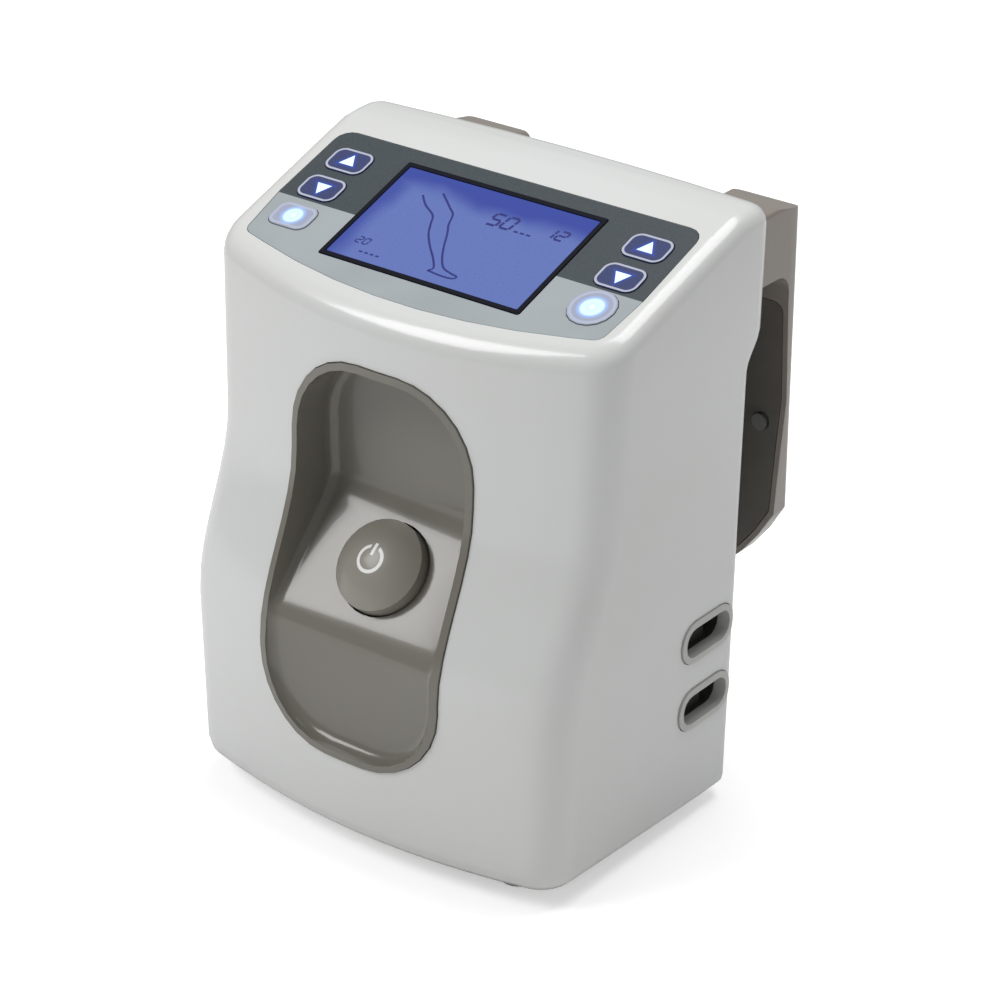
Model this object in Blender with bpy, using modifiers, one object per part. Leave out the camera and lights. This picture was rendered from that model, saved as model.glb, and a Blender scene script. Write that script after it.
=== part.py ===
"""Compression therapy pump with a sloping control panel, a front recess, two hose ports and a bed hook.

Metres, +Z up and +Y to the rear. The origin is on the floor, below the middle of the whole part.
"""

import math

import bmesh
import bpy
from mathutils import Matrix, Vector

# Fits shared by all pieces
GAP = 0.0003
RUNNING_GAP = 0.0004
BITE = 0.0005
OVERRUN = 0.03
SMALLEST_RADIUS = 0.0004
ARC_STEPS = 4
ROUND_STEPS = 24
SMALL_ROUND_STEPS = 12
BUTTON_STEPS = 32
DOME_STEPS = 6
MERGE_DISTANCE = 0.00001
SHARP_ANGLE = math.radians(35.0)

# Housing, outside
HOUSING_DEPTH = 0.1295
HOOK_REACH = 0.020
RIM_PROUD = 0.0008
FOOT_HEIGHT = 0.006
TOP_HALF_WIDTH = 0.0869
SIDE_TAPER = 0.0049
WALL = 0.003
PANEL_SETBACK = 0.067
PANEL_RISE = 0.207
PANEL_TILT = math.radians(19.6)
BLEND_SETBACK = 0.036
BLEND_LENGTH = 0.008
STRIP_SLOPE = math.tan(math.radians(2.0))
BELLY_RISE = 0.067
WAIST_RISE = 0.067
WAIST_DEPTH = 0.0197
LIP_RISE = 0.05
LIP_LEAN = 0.002
FRONT_BOW_RADIUS = 0.251
FRONT_CORNER_RADIUS = 0.0156
REAR_STEP = 0.012
STEP_DROP = 0.0295
STEP_HEIGHT = 0.0135
REAR_BOW_RADIUS = 1.0
REAR_CORNER_TOP_RADIUS = 0.009
REAR_CORNER_LOW_RADIUS = 0.006
TOP_FILLET = 0.0065
BASE_FRONT_FILLET = 0.010
BASE_REAR_FILLET = 0.0025

BASE_HALF_WIDTH = TOP_HALF_WIDTH - SIDE_TAPER
FRONT_Y = (RIM_PROUD - HOUSING_DEPTH - HOOK_REACH) / 2
REAR_Y = FRONT_Y + HOUSING_DEPTH
HOOK_REAR_Y = REAR_Y + HOOK_REACH
LOW_REAR_Y = REAR_Y - REAR_STEP
BASE_Z = FOOT_HEIGHT
PANEL_Y = FRONT_Y + PANEL_SETBACK
PANEL_Z = BASE_Z + PANEL_RISE
BELLY_Z = BASE_Z + BELLY_RISE
WAIST_Z = BELLY_Z + WAIST_RISE
STEP_HIGH_Z = PANEL_Z - STEP_DROP
STEP_LOW_Z = STEP_HIGH_Z - STEP_HEIGHT
BLEND_START_Y = PANEL_Y + BLEND_SETBACK
BLEND_END_Y = BLEND_START_Y + BLEND_LENGTH
FLOOR_Z = BASE_Z + WALL

# Front recess and its liner
RECESS_WIDTH = 0.079
RECESS_CORNER = 0.031
RECESS_TOP_DROP = 0.034
RECESS_HEIGHT = 0.140
RECESS_DEPTH = 0.040
RIM_WIDTH = 0.0026
LINER_WALL = 0.003
LINER_FILLET = 0.004
CONSOLE_SLOPE = math.radians(47.0)
CONSOLE_LIP_DEPTH = 0.00525
CONSOLE_BLEND = 0.005

RECESS_TOP_Z = PANEL_Z - RECESS_TOP_DROP
RECESS_BOTTOM_Z = RECESS_TOP_Z - RECESS_HEIGHT
RECESS_BACK_Y = FRONT_Y + RECESS_DEPTH
RECESS_LOW_Y = FRONT_Y + CONSOLE_LIP_DEPTH

# Power button on the console
BUTTON_SETBACK = 0.0238
BUTTON_DROP = 0.1089
BUTTON_RADIUS = 0.01675
BUTTON_RING_GAP = 0.00075
BUTTON_SIDE = 0.0045
BUTTON_HEIGHT = 0.011
BUTTON_SKIRT = 0.0045
BUTTON_WALL = 0.002
BUTTON_STEM_RADIUS = 0.003
BUTTON_STEM = 0.0118
BUTTON_TRAVEL = 0.003
SWITCH_WALL = 0.003
SWITCH_FLOOR = 0.002
SWITCH_BOSS_RADIUS = 0.006

BUTTON_HOLE_RADIUS = BUTTON_RADIUS + BUTTON_RING_GAP
BUTTON_Y = FRONT_Y + BUTTON_SETBACK
BUTTON_Z = PANEL_Z - BUTTON_DROP

# Control panel: heights are distances above the panel's surface
OVERLAY_TOP = -0.0001
OVERLAY_THICKNESS = 0.0012
OVERLAY_BACK_EDGE = 0.0328
OVERLAY_MIDDLE_EDGE = -0.0043
OVERLAY_SIDE_EDGE = -0.0262
OVERLAY_FRONT_EDGE = -0.0371
OVERLAY_SIDE_MARGIN = 0.0107
OVERLAY_FLARE = 0.002
OVERLAY_TUCK = 0.0004
OVERLAY_BACK_CORNER = 0.006
OVERLAY_FRONT_CORNER = 0.004
OVERLAY_ARC_RADIUS = 0.261
OVERLAY_ARC_SHARES = (-0.87, -0.62, -0.37, -0.12, 0.12, 0.37, 0.62, 0.87)
LCD_KEY_GAP = 0.0128
LCD_DEPTH = 0.0523
LCD_FRAME = 0.0018
LCD_CORNER = 0.0008
LCD_PROUD = 0.0002
LCD_BEZEL_HEIGHT = 0.0042
LCD_GLASS_HEIGHT = 0.0016
LCD_MODULE_MARGIN = 0.002
LCD_MODULE_HEIGHT = 0.0047
KEY_SIDE_MARGIN = 0.0119
KEY_WIDTH = 0.017
KEY_DEPTH = 0.012
KEY_CORNER = 0.004
KEY_UP_Y = 0.0184
KEY_DOWN_Y = 0.0024
KEY_GLOW_Y = -0.01375
KEY_PROUD = 0.0003
KEY_THICKNESS = 0.0011
KEY_STEM_RADIUS = 0.0022
KEY_TRAVEL = 0.0005
BOARD_THICKNESS = 0.0016
BOARD_SIDE_MARGIN = 0.0129
BOARD_HALF_DEPTH = 0.030
TACT_SIZE = 0.006
TACT_HEIGHT = 0.0038
POST_RADIUS = 0.0025
POST_MARGIN = 0.0075
POST_Y = 0.0265

OVERLAY_FRONT_HALF = TOP_HALF_WIDTH - OVERLAY_SIDE_MARGIN
OVERLAY_MIDDLE_HALF = OVERLAY_FRONT_HALF + OVERLAY_FLARE
OVERLAY_BACK_HALF = OVERLAY_MIDDLE_HALF - OVERLAY_TUCK
KEY_X = OVERLAY_FRONT_HALF - KEY_SIDE_MARGIN
LCD_WIDTH = 2 * (KEY_X - KEY_WIDTH / 2 - LCD_KEY_GAP)
BOARD_HALF_WIDTH = TOP_HALF_WIDTH - BOARD_SIDE_MARGIN
POST_X = LCD_WIDTH / 2 + POST_MARGIN
POCKET_FLOOR = OVERLAY_TOP - OVERLAY_THICKNESS - GAP
BEZEL_BOTTOM = LCD_PROUD - LCD_BEZEL_HEIGHT
MODULE_TOP = BEZEL_BOTTOM - GAP
MODULE_BOTTOM = MODULE_TOP - LCD_MODULE_HEIGHT
BOARD_TOP = MODULE_BOTTOM - GAP
BOARD_BOTTOM = BOARD_TOP - BOARD_THICKNESS

# Hose ports on the right side
PORT_FRONT_SETBACK = 0.0825
PORT_END_MARGIN = 0.0045
PORT_HEIGHT = 0.0163
PORT_CORNER = 0.0075
PORT_RIM = 0.0024
PORT_PROUD = 0.0008
PORT_TOP_RISE = 0.069
PORT_PITCH = 0.0272
PORT_BEZEL_DEPTH = 0.0043
SOCKET_LENGTH = 0.019
SOCKET_CAVITY = 0.015
SOCKET_END_MARGIN = 0.002
LEDGE_HEIGHT = 0.0035
LEDGE_SETBACK = 0.002
NIPPLE_RADIUS = 0.0021
NIPPLE_LENGTH = 0.008
NIPPLE_SPACING = 0.012
NIPPLE_RISE = 0.0018

PORT_FRONT_Y = FRONT_Y + PORT_FRONT_SETBACK
PORT_REAR_Y = LOW_REAR_Y - PORT_END_MARGIN
PORT_TOP_Z = BASE_Z + PORT_TOP_RISE
PORT_HEIGHTS = {"upper": PORT_TOP_Z, "lower": PORT_TOP_Z - PORT_PITCH}

# Feet
FOOT_SIDE_MARGIN = 0.0264
FOOT_FRONT_SETBACK = 0.028
FOOT_REAR_SETBACK = 0.018
FOOT_TOP_RADIUS = 0.010
FOOT_SOLE_RADIUS = 0.0085
FOOT_EDGE = 0.0008
FOOT_COLLAR = 0.0015

FOOT_X = BASE_HALF_WIDTH - FOOT_SIDE_MARGIN

# Bed hook, which slides in two channels at the top of the housing
HOOK_CENTRE_X = 0.0097
HOOK_SIDE_MARGIN = 0.0055
ARM_WIDTH = 0.0307
ARM_TOP_RISE = 0.0075
ARM_HEIGHT = 0.0255
ARM_BURIED = 0.0195
ARM_INNER_CORNER = 0.010
ARM_OUTER_CORNER = 0.0016
ARM_FALL = 0.0029
ARM_FALL_LENGTH = 0.0165
HOOK_ARC_EXTRA = 0.0083
HOOK_ARC_DROP = 0.074
HOOK_ARC_STEPS = 16
HOOK_TOP_THICKNESS = 0.005
HOOK_NECK_THICKNESS = 0.0035
HOOK_KNEE_THICKNESS = 0.0065
HOOK_TOE_THICKNESS = 0.0095
HOOK_NECK_DROP = 0.067
HOOK_KNEE_DROP = 0.089
HOOK_TOE_DROP = 0.116
HOOK_ROOT_DROP = 0.030
HOOK_ROOT_FILLET = 0.007
HOOK_EDGE = 0.002
HOOK_TRAVEL = 0.018
HOOK_SKIN = 0.0016
LINER_MARGIN = 0.002
LINER_CORNER = 0.006
HOOK_SCREW_MARGIN = 0.0094
HOOK_SCREW_DROP = 0.077
TONGUE_WIDTH = 0.014
TONGUE_HEIGHT = 0.0039
TONGUE_BURIED = 0.062
CHANNEL_WALL = 0.002
CHANNEL_LIP = 0.003
CARRIER_THICKNESS = 0.0025
CARRIER_FRONT_SETBACK = 0.048
CARRIER_LENGTH = 0.026
LEDGE_WIDTH = 0.006
LEDGE_THICKNESS = 0.0042

HOOK_HALF_WIDTH = TOP_HALF_WIDTH - HOOK_CENTRE_X - HOOK_SIDE_MARGIN
HOOK_ARC_RADIUS = HOOK_HALF_WIDTH + HOOK_ARC_EXTRA
ARM_TOP_Z = PANEL_Z + ARM_TOP_RISE
ARM_BOTTOM_Z = ARM_TOP_Z - ARM_HEIGHT
NOTCH_Z = ARM_BOTTOM_Z - ARM_INNER_CORNER
ARM_FRONT_Y = REAR_Y - ARM_BURIED
TONGUE_BOTTOM_Z = ARM_BOTTOM_Z + GAP
TONGUE_TOP_Z = TONGUE_BOTTOM_Z + TONGUE_HEIGHT
TONGUE_FRONT_Y = REAR_Y - TONGUE_BURIED
ARM_CENTRES = [HOOK_CENTRE_X + side * (HOOK_HALF_WIDTH - ARM_WIDTH / 2) for side in (-1, 1)]
CARRIER_TOP_Z = TONGUE_BOTTOM_Z - GAP
CARRIER_BOTTOM_Z = CARRIER_TOP_Z - CARRIER_THICKNESS
CARRIER_REAR_Y = REAR_Y - CARRIER_FRONT_SETBACK + CARRIER_LENGTH

# Rear cover, its screws, vents and mains inlet
COVER_SIDE_MARGIN = 0.016
COVER_BOTTOM_RISE = 0.008
COVER_TOP_DROP = 0.004
COVER_CORNER = 0.005
SCREW_INSET = 0.006
SCREW_HEAD_RADIUS = 0.0032
SCREW_HEAD_HEIGHT = 0.002
SCREW_SHANK_RADIUS = 0.0015
SCREW_LENGTH = 0.008
TAB_HALF_HEIGHT = 0.004
TAB_THICKNESS = 0.0055
VENT_WIDTH = 0.0024
VENT_HEIGHT = 0.026
VENT_PITCH = 0.007
VENT_COUNT = 8
VENT_SIDE_MARGIN = 0.046
VENT_TOP_DROP = 0.012
INLET_SIDE_MARGIN = 0.018
INLET_RISE = 0.029
INLET_WIDTH = 0.027
INLET_HEIGHT = 0.0195
INLET_CORNER = 0.003
INLET_FLANGE = 0.002
INLET_DEPTH = 0.018
INLET_CAVITY = 0.014
INLET_WALL = 0.0025
PIN_WIDTH = 0.002
PIN_HEIGHT = 0.004
PIN_LENGTH = 0.008
PIN_SPACING = 0.007

COVER_HALF_WIDTH = BASE_HALF_WIDTH - COVER_SIDE_MARGIN
VENT_CENTRE_X = COVER_HALF_WIDTH - VENT_SIDE_MARGIN
INLET_X = INLET_SIDE_MARGIN - COVER_HALF_WIDTH
COVER_BOTTOM_Z = BASE_Z + COVER_BOTTOM_RISE
COVER_TOP_Z = STEP_LOW_Z - COVER_TOP_DROP
COVER_FRONT_Y = LOW_REAR_Y - WALL
INLET_Z = BASE_Z + INLET_RISE

# Pieces inside the housing
CHASSIS_RISE = 0.005
CHASSIS_THICKNESS = 0.002
CHASSIS_LEFT_MARGIN = 0.014
CHASSIS_RIGHT_MARGIN = 0.028
CHASSIS_FRONT_SETBACK = 0.0265
CHASSIS_REAR_MARGIN = 0.0085
CHASSIS_UPRIGHT = 0.084
FLOOR_POST_RADIUS = 0.004
FLOOR_POST_INSET = 0.008
MAIN_BOARD_MARGIN = 0.004
MAIN_BOARD_RISE = 0.006
SUPPLY_WIDTH = 0.058
SUPPLY_DEPTH = 0.026
SUPPLY_HEIGHT = 0.030
SUPPLY_OFFSET = 0.016
PUMP_SIDE_MARGIN = 0.036
PUMP_REAR_MARGIN = 0.0125
PUMP_BASE_WIDTH = 0.064
PUMP_BASE_DEPTH = 0.038
PUMP_BASE_THICKNESS = 0.003
PUMP_HEAD_WIDTH = 0.030
PUMP_HEAD_HEIGHT = 0.038
MOTOR_RADIUS = 0.016
MOTOR_LENGTH = 0.042
MOTOR_CLEARANCE = 0.0015
CUSHION_RADIUS = 0.0045
CUSHION_HEIGHT = 0.007
CUSHION_INSET = 0.006
MANIFOLD_WIDTH = 0.052
MANIFOLD_DEPTH = 0.016
MANIFOLD_HEIGHT = 0.016
MANIFOLD_RISE = 0.086
MANIFOLD_SIDE_MARGIN = 0.034
VALVE_RADIUS = 0.0072
VALVE_HEIGHT = 0.026
VALVE_SPACING = 0.028
TUBE_RADIUS = 0.002
TUBE_BEND = 0.0032
TUBE_OFFSET = 0.0067
TUBE_LOWER_MARGIN = 0.010

CHASSIS_LEFT = BASE_HALF_WIDTH - CHASSIS_LEFT_MARGIN
CHASSIS_RIGHT = BASE_HALF_WIDTH - CHASSIS_RIGHT_MARGIN
PUMP_CENTRE_X = CHASSIS_RIGHT - PUMP_SIDE_MARGIN
MANIFOLD_CENTRE_X = CHASSIS_RIGHT - MANIFOLD_SIDE_MARGIN
CHASSIS_BOTTOM_Z = FLOOR_Z + CHASSIS_RISE
CHASSIS_TOP_Z = CHASSIS_BOTTOM_Z + CHASSIS_THICKNESS
CHASSIS_FRONT_Y = FRONT_Y + CHASSIS_FRONT_SETBACK
CHASSIS_REAR_Y = COVER_FRONT_Y - CHASSIS_REAR_MARGIN

# Finishes: colour, roughness, metallic
FINISHES = {
    "white_plastic": ((0.80, 0.82, 0.82), 0.25, 0.0),
    "taupe_plastic": ((0.27, 0.255, 0.23), 0.25, 0.0),
    "overlay_film": ((0.09, 0.10, 0.11), 0.35, 0.0),
    "black_plastic": ((0.01, 0.01, 0.02), 0.3, 0.0),
    "display_glass": ((0.14, 0.21, 0.50), 0.1, 0.0),
    "key_film": ((0.04, 0.06, 0.25), 0.3, 0.0),
    "glow_film": ((0.55, 0.68, 0.88), 0.3, 0.0),
    "grey_plastic": ((0.42, 0.42, 0.41), 0.4, 0.0),
    "dark_plastic": ((0.03, 0.03, 0.03), 0.5, 0.0),
    "rubber": ((0.30, 0.30, 0.30), 0.8, 0.0),
    "steel": ((0.55, 0.55, 0.55), 0.35, 1.0),
    "board": ((0.02, 0.16, 0.06), 0.5, 0.0),
    "tube": ((0.60, 0.62, 0.60), 0.4, 0.0),
}

PARTS = "compression_pump"
CUTTERS = "cutters"

PANEL_FRAME = Matrix.Translation((0, PANEL_Y, PANEL_Z)) @ Matrix.Rotation(PANEL_TILT, 4, "X")
BUTTON_FRAME = Matrix.Translation((0, BUTTON_Y, BUTTON_Z)) @ Matrix.Rotation(CONSOLE_SLOPE, 4, "X")
# Local X and Y lie along world X and Z, and local Z looks to the front
FRONT_FRAME = Matrix.Rotation(math.radians(90.0), 4, "X")
# Local X and Y lie along world Y and Z, and local Z looks to the right
SIDE_FRAME = Matrix(((0, 0, 1, 0), (1, 0, 0, 0), (0, 1, 0, 0), (0, 0, 0, 1)))


# Scene helpers


def clear_scene():
    for obj in list(bpy.data.objects):
        bpy.data.objects.remove(obj, do_unlink=True)
    for name in (PARTS, CUTTERS):
        bpy.context.scene.collection.children.link(bpy.data.collections.new(name))
    bpy.data.collections[CUTTERS].hide_render = True


def paint(obj, finish):
    colour, roughness, metallic = FINISHES[finish]
    material = bpy.data.materials.new(f"{obj.name}_{finish}")
    material.use_nodes = True
    shader = material.node_tree.nodes["Principled BSDF"]
    shader.inputs["Base Color"].default_value = (*colour, 1.0)
    shader.inputs["Roughness"].default_value = roughness
    shader.inputs["Metallic"].default_value = metallic
    obj.data.materials.clear()
    obj.data.materials.append(material)


def place(obj, frame, finish=None):
    """Puts an object in the parts with its finish, or without one among the cutters."""
    bpy.data.collections[PARTS if finish else CUTTERS].objects.link(obj)
    obj.matrix_world = frame
    if finish:
        paint(obj, finish)
    else:
        obj.hide_render = True
        obj.display_type = "WIRE"
    return obj


def from_bmesh(name, mesh, frame, finish=None):
    data = bpy.data.meshes.new(name)
    mesh.to_mesh(data)
    mesh.free()
    return place(bpy.data.objects.new(name, data), frame, finish)


def boolean(obj, other, operation="DIFFERENCE"):
    modifier = obj.modifiers.new(f"{operation.lower()}_{other.name}", "BOOLEAN")
    modifier.operation = operation
    modifier.object = other
    modifier.solver = "EXACT"


def smooth(obj):
    """Shades the round faces smooth and keeps the edges between unlike faces."""
    obj.data.shade_smooth()
    obj.data.set_sharp_from_angle(angle=SHARP_ANGLE)


# Shape helpers


def rounded(corners, inset=0.0):
    """Outline through anticlockwise (x, y, radius) corners, each rounded, moved inwards by inset."""
    outline = []
    for k, (x, y, radius) in enumerate(corners):
        here = Vector((x, y))
        arriving = (here - Vector(corners[k - 1][:2])).normalized()
        leaving = (Vector(corners[(k + 1) % len(corners)][:2]) - here).normalized()
        inward_a = Vector((-arriving.y, arriving.x))
        inward_b = Vector((-leaving.y, leaving.x))
        corner = here + (inward_a + inward_b) * (inset / (1 + inward_a.dot(inward_b)))
        turn = math.atan2(arriving.x * leaving.y - arriving.y * leaving.x, arriving.dot(leaving))
        if radius == 0:
            outline.append(tuple(corner))
            continue
        side = math.copysign(1.0, turn)
        fillet = max(radius - side * inset, SMALLEST_RADIUS)
        start = corner - arriving * (fillet * math.tan(abs(turn) / 2))
        centre = start + inward_a * (side * fillet)
        for step in range(ARC_STEPS + 1):
            spoke = start - centre
            spoke.rotate(Matrix.Rotation(turn * step / ARC_STEPS, 2))
            outline.append(tuple(centre + spoke))
    return outline


def box_corners(left, right, bottom, top, radius=0.0):
    return [(left, bottom, radius), (right, bottom, radius), (right, top, radius), (left, top, radius)]


def stacked(name, sections, frame, finish=None):
    """Closed body through outlines with equal point counts, each given with its height in the frame."""
    mesh = bmesh.new()
    loops = [[mesh.verts.new((x, y, height)) for x, y in outline] for outline, height in sections]
    count = len(loops[0])
    for lower, upper in zip(loops, loops[1:]):
        for k in range(count):
            following = (k + 1) % count
            mesh.faces.new((lower[k], lower[following], upper[following], upper[k]))
    mesh.faces.new(loops[0][::-1])
    mesh.faces.new(loops[-1])
    mesh.normal_update()
    bmesh.ops.triangulate(mesh, faces=mesh.faces)
    bmesh.ops.recalc_face_normals(mesh, faces=mesh.faces)
    return from_bmesh(name, mesh, frame, finish)


def plate(name, outlines, bottom, top, frame, finish=None):
    """Flat piece from a filled 2D curve: the first outline is its edge and the others are its holes."""
    curve = bpy.data.curves.new(name, "CURVE")
    curve.dimensions = "2D"
    curve.fill_mode = "BOTH"
    curve.extrude = (top - bottom) / 2
    for outline in outlines:
        spline = curve.splines.new("POLY")
        spline.points.add(len(outline) - 1)
        for point, (x, y) in zip(spline.points, outline):
            point.co = (x, y, 0.0, 1.0)
        spline.use_cyclic_u = True
    source = bpy.data.objects.new(f"{name}_outline", curve)
    bpy.context.scene.collection.objects.link(source)
    graph = bpy.context.evaluated_depsgraph_get()
    data = bpy.data.meshes.new_from_object(source.evaluated_get(graph))
    bpy.data.objects.remove(source)
    mesh = bmesh.new()
    mesh.from_mesh(data)
    bmesh.ops.remove_doubles(mesh, verts=mesh.verts, dist=MERGE_DISTANCE)
    bmesh.ops.translate(mesh, verts=mesh.verts, vec=(0, 0, (bottom + top) / 2))
    bmesh.ops.recalc_face_normals(mesh, faces=mesh.faces)
    mesh.to_mesh(data)
    mesh.free()
    data.name = name
    return place(bpy.data.objects.new(name, data), frame, finish)


def block(name, low, high, frame=None, finish=None):
    """Box between two opposite corners."""
    mesh = bmesh.new()
    bmesh.ops.create_cube(mesh, size=1.0)
    low, high = Vector(low), Vector(high)
    bmesh.ops.scale(mesh, verts=mesh.verts, vec=high - low)
    bmesh.ops.translate(mesh, verts=mesh.verts, vec=(low + high) / 2)
    return from_bmesh(name, mesh, frame or Matrix(), finish)


def rod(name, radius, bottom, top, frame, finish=None, steps=SMALL_ROUND_STEPS):
    """Round bar along the frame's Z between two heights."""
    mesh = bmesh.new()
    bmesh.ops.create_cone(
        mesh, cap_ends=True, segments=steps, radius1=radius, radius2=radius, depth=top - bottom
    )
    bmesh.ops.translate(mesh, verts=mesh.verts, vec=(0, 0, (bottom + top) / 2))
    obj = from_bmesh(name, mesh, frame, finish)
    smooth(obj)
    return obj


def turned(name, profile, frame, finish=None, steps=ROUND_STEPS):
    """Turned piece: the (radius, height) profile runs down the outer side and turns about the frame's Z."""
    mesh = bmesh.new()
    points = [mesh.verts.new((radius, 0, height)) for radius, height in profile]
    for upper, lower in zip(points, points[1:]):
        mesh.edges.new((upper, lower))
    obj = from_bmesh(name, mesh, frame, finish)
    screw = obj.modifiers.new("turn", "SCREW")
    screw.steps = steps
    screw.render_steps = steps
    screw.use_merge_vertices = True
    screw.merge_threshold = MERGE_DISTANCE
    return obj


def at(x, y, z=0.0):
    return Matrix.Translation((x, y, z))


# Housing form


def smooth_share(share):
    share = min(max(share, 0.0), 1.0)
    return share * share * (3 - 2 * share)


def half_width(z):
    return BASE_HALF_WIDTH + (TOP_HALF_WIDTH - BASE_HALF_WIDTH) * (z - BASE_Z) / PANEL_RISE


def front_y(z):
    """Front edge in the middle: a full belly, a waist above it and a slight lean to the panel's lip."""
    lean = LIP_LEAN * max(z - WAIST_Z, 0.0) / LIP_RISE
    return FRONT_Y + WAIST_DEPTH * smooth_share((z - BELLY_Z) / WAIST_RISE) + lean


def step_share(z):
    """0 below the step in the rear wall and 1 above it."""
    return smooth_share((z - STEP_LOW_Z) / STEP_HEIGHT)


def rear_y(z):
    return LOW_REAR_Y + REAR_STEP * step_share(z)


def top_z(y):
    """Height of the top: the sloping panel, a short blend and the nearly level strip behind it."""
    slope = math.tan(PANEL_TILT)
    along = min(y, BLEND_START_Y) - PANEL_Y
    blended = min(max(y - BLEND_START_Y, 0.0), BLEND_LENGTH)
    beyond = max(y - BLEND_END_Y, 0.0)
    lost = (slope - STRIP_SLOPE) * blended * blended / (2 * BLEND_LENGTH)
    return PANEL_Z + slope * (along + blended) - lost + STRIP_SLOPE * beyond


FRONT_STEPS = 6
CORNER_STEPS = 6
SIDE_SHARES = (0.22, 0.44, 0.66, 0.84, 0.92, 1.0)
REAR_CORNER_STEPS = 5
REAR_STEPS = 3
BELLY_SHARES = (0.5,)
S_STEPS = 8
LIP_STEPS = 5
FILLET_STEPS = 4


def bowed_edge(half, curvature, radius):
    """Where a bowed edge meets its rounded corner: x, the edge's lean and the depth of the arc's centre."""
    x = half - radius
    for _ in range(3):
        lean = math.atan(x * curvature)
        x = half - radius + radius * math.sin(lean)
    return x, lean, x * x * curvature / 2 + radius * math.cos(lean)


def plan(z, inset):
    """Half outline of the housing at a height, from its front middle round +X to its rear middle."""
    half = half_width(z) - inset
    front, rear = front_y(z) + inset, rear_y(z) - inset
    bow = 1 / FRONT_BOW_RADIUS
    radius = max(FRONT_CORNER_RADIUS - inset, SMALLEST_RADIUS)
    x, lean, depth = bowed_edge(half, bow, radius)
    across = [x * k / FRONT_STEPS for k in range(FRONT_STEPS + 1)]
    points = [(step, front + step * step * bow / 2) for step in across]
    for k in range(1, CORNER_STEPS + 1):
        angle = lean + (math.pi / 2 - lean) * k / CORNER_STEPS
        points.append((half - radius + radius * math.sin(angle), front + depth - radius * math.cos(angle)))
    side_start = front + depth
    low_radius, top_radius = REAR_CORNER_LOW_RADIUS, REAR_CORNER_TOP_RADIUS
    radius = max(low_radius + (top_radius - low_radius) * step_share(z) - inset, SMALLEST_RADIUS)
    bow = step_share(z) / REAR_BOW_RADIUS
    x, lean, depth = bowed_edge(half, bow, radius)
    side_end = rear - depth
    points += [(half, side_start + (side_end - side_start) * share) for share in SIDE_SHARES]
    for k in range(1, REAR_CORNER_STEPS + 1):
        angle = (math.pi / 2 - lean) * k / REAR_CORNER_STEPS
        points.append((half - radius + radius * math.cos(angle), rear - depth + radius * math.sin(angle)))
    for k in range(REAR_STEPS - 1, -1, -1):
        points.append((x * k / REAR_STEPS, rear - (x * k / REAR_STEPS) ** 2 * bow / 2))
    return points


def skin(name, inset, finish=None):
    """Closed body of the housing's form, moved inwards by inset."""
    rim = plan(PANEL_Z, inset)
    low, high = top_z(rim[0][1]), top_z(rim[-1][1])
    rises = [(top_z(y) - low) / (high - low) for _, y in rim]
    columns = range(len(rim))
    base = BASE_Z + inset
    rings = []

    def wall_ring(heights, insets):
        rings.append([(*plan(heights[j], insets[j])[j], heights[j]) for j in columns])

    fillets = [BASE_FRONT_FILLET + (BASE_REAR_FILLET - BASE_FRONT_FILLET) * rise for rise in rises]
    fillets = [max(fillet - inset, SMALLEST_RADIUS) for fillet in fillets]
    for k in range(FILLET_STEPS):
        angle = math.pi / 2 * k / (FILLET_STEPS - 1)
        heights = [base + fillet * (1 - math.cos(angle)) for fillet in fillets]
        wall_ring(heights, [inset + fillet * (1 - math.sin(angle)) for fillet in fillets])
    even = [inset] * len(rim)
    for share in BELLY_SHARES:
        wall_ring([BASE_Z + (BELLY_Z - BASE_Z) * share] * len(rim), even)
    for k in range(S_STEPS + 1):
        wall_ring([BELLY_Z + WAIST_RISE * k / S_STEPS] * len(rim), even)
    for k in range(LIP_STEPS):
        at_front = WAIST_Z + (low - TOP_FILLET - WAIST_Z) * (k + 1) / (LIP_STEPS + 1)
        at_rear = STEP_LOW_Z + STEP_HEIGHT * k / (LIP_STEPS - 1)
        wall_ring([at_front + (at_rear - at_front) * rise for rise in rises], even)
    drop = inset / math.cos(PANEL_TILT)
    fillet = max(TOP_FILLET - inset, SMALLEST_RADIUS)
    for k in range(FILLET_STEPS + 1):
        angle = math.pi / 2 * k / FILLET_STEPS
        fall = drop + fillet * (1 - math.sin(angle))
        ring = []
        for j in columns:
            guess = top_z(rim[j][1]) - fall
            x, y = plan(guess, inset + fillet * (1 - math.cos(angle)))[j]
            ring.append((x, y, top_z(y) - fall))
        rings.append(ring)
    return mirrored_loft(name, rings, finish)


def close_across(mesh, loop):
    """Caps a mirrored loop by strips across it. A straight end run joins the strip beside it."""
    count = len(loop)
    first, last = 0, count // 2
    while (loop[first + 1].co - loop[0].co).yz.length < MERGE_DISTANCE:
        first += 1
    while (loop[last - 1].co - loop[count // 2].co).yz.length < MERGE_DISTANCE:
        last -= 1
    mesh.faces.new([loop[k] for k in range(-first - 1, first + 2)])
    for k in range(first + 1, last - 1):
        mesh.faces.new((loop[k], loop[k + 1], loop[-k - 1], loop[-k]))
    mesh.faces.new([loop[k % count] for k in range(last - 1, count - last + 2)])


def mirrored_loft(name, half_rings, finish=None):
    """Closed body through half rings that start and end on x = 0 and are mirrored across it."""
    mesh = bmesh.new()
    loops = []
    for half in half_rings:
        mirrored = [(-x, y, z) for x, y, z in reversed(half[1:-1])]
        loops.append([mesh.verts.new(point) for point in half + mirrored])
    count = len(loops[0])
    for lower, upper in zip(loops, loops[1:]):
        for k in range(count):
            following = (k + 1) % count
            mesh.faces.new((lower[k], lower[following], upper[following], upper[k]))
    close_across(mesh, loops[0])
    close_across(mesh, loops[-1])
    bmesh.ops.triangulate(mesh, faces=mesh.faces)
    bmesh.ops.recalc_face_normals(mesh, faces=mesh.faces)
    return from_bmesh(name, mesh, Matrix(), finish)


# Front recess


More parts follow.
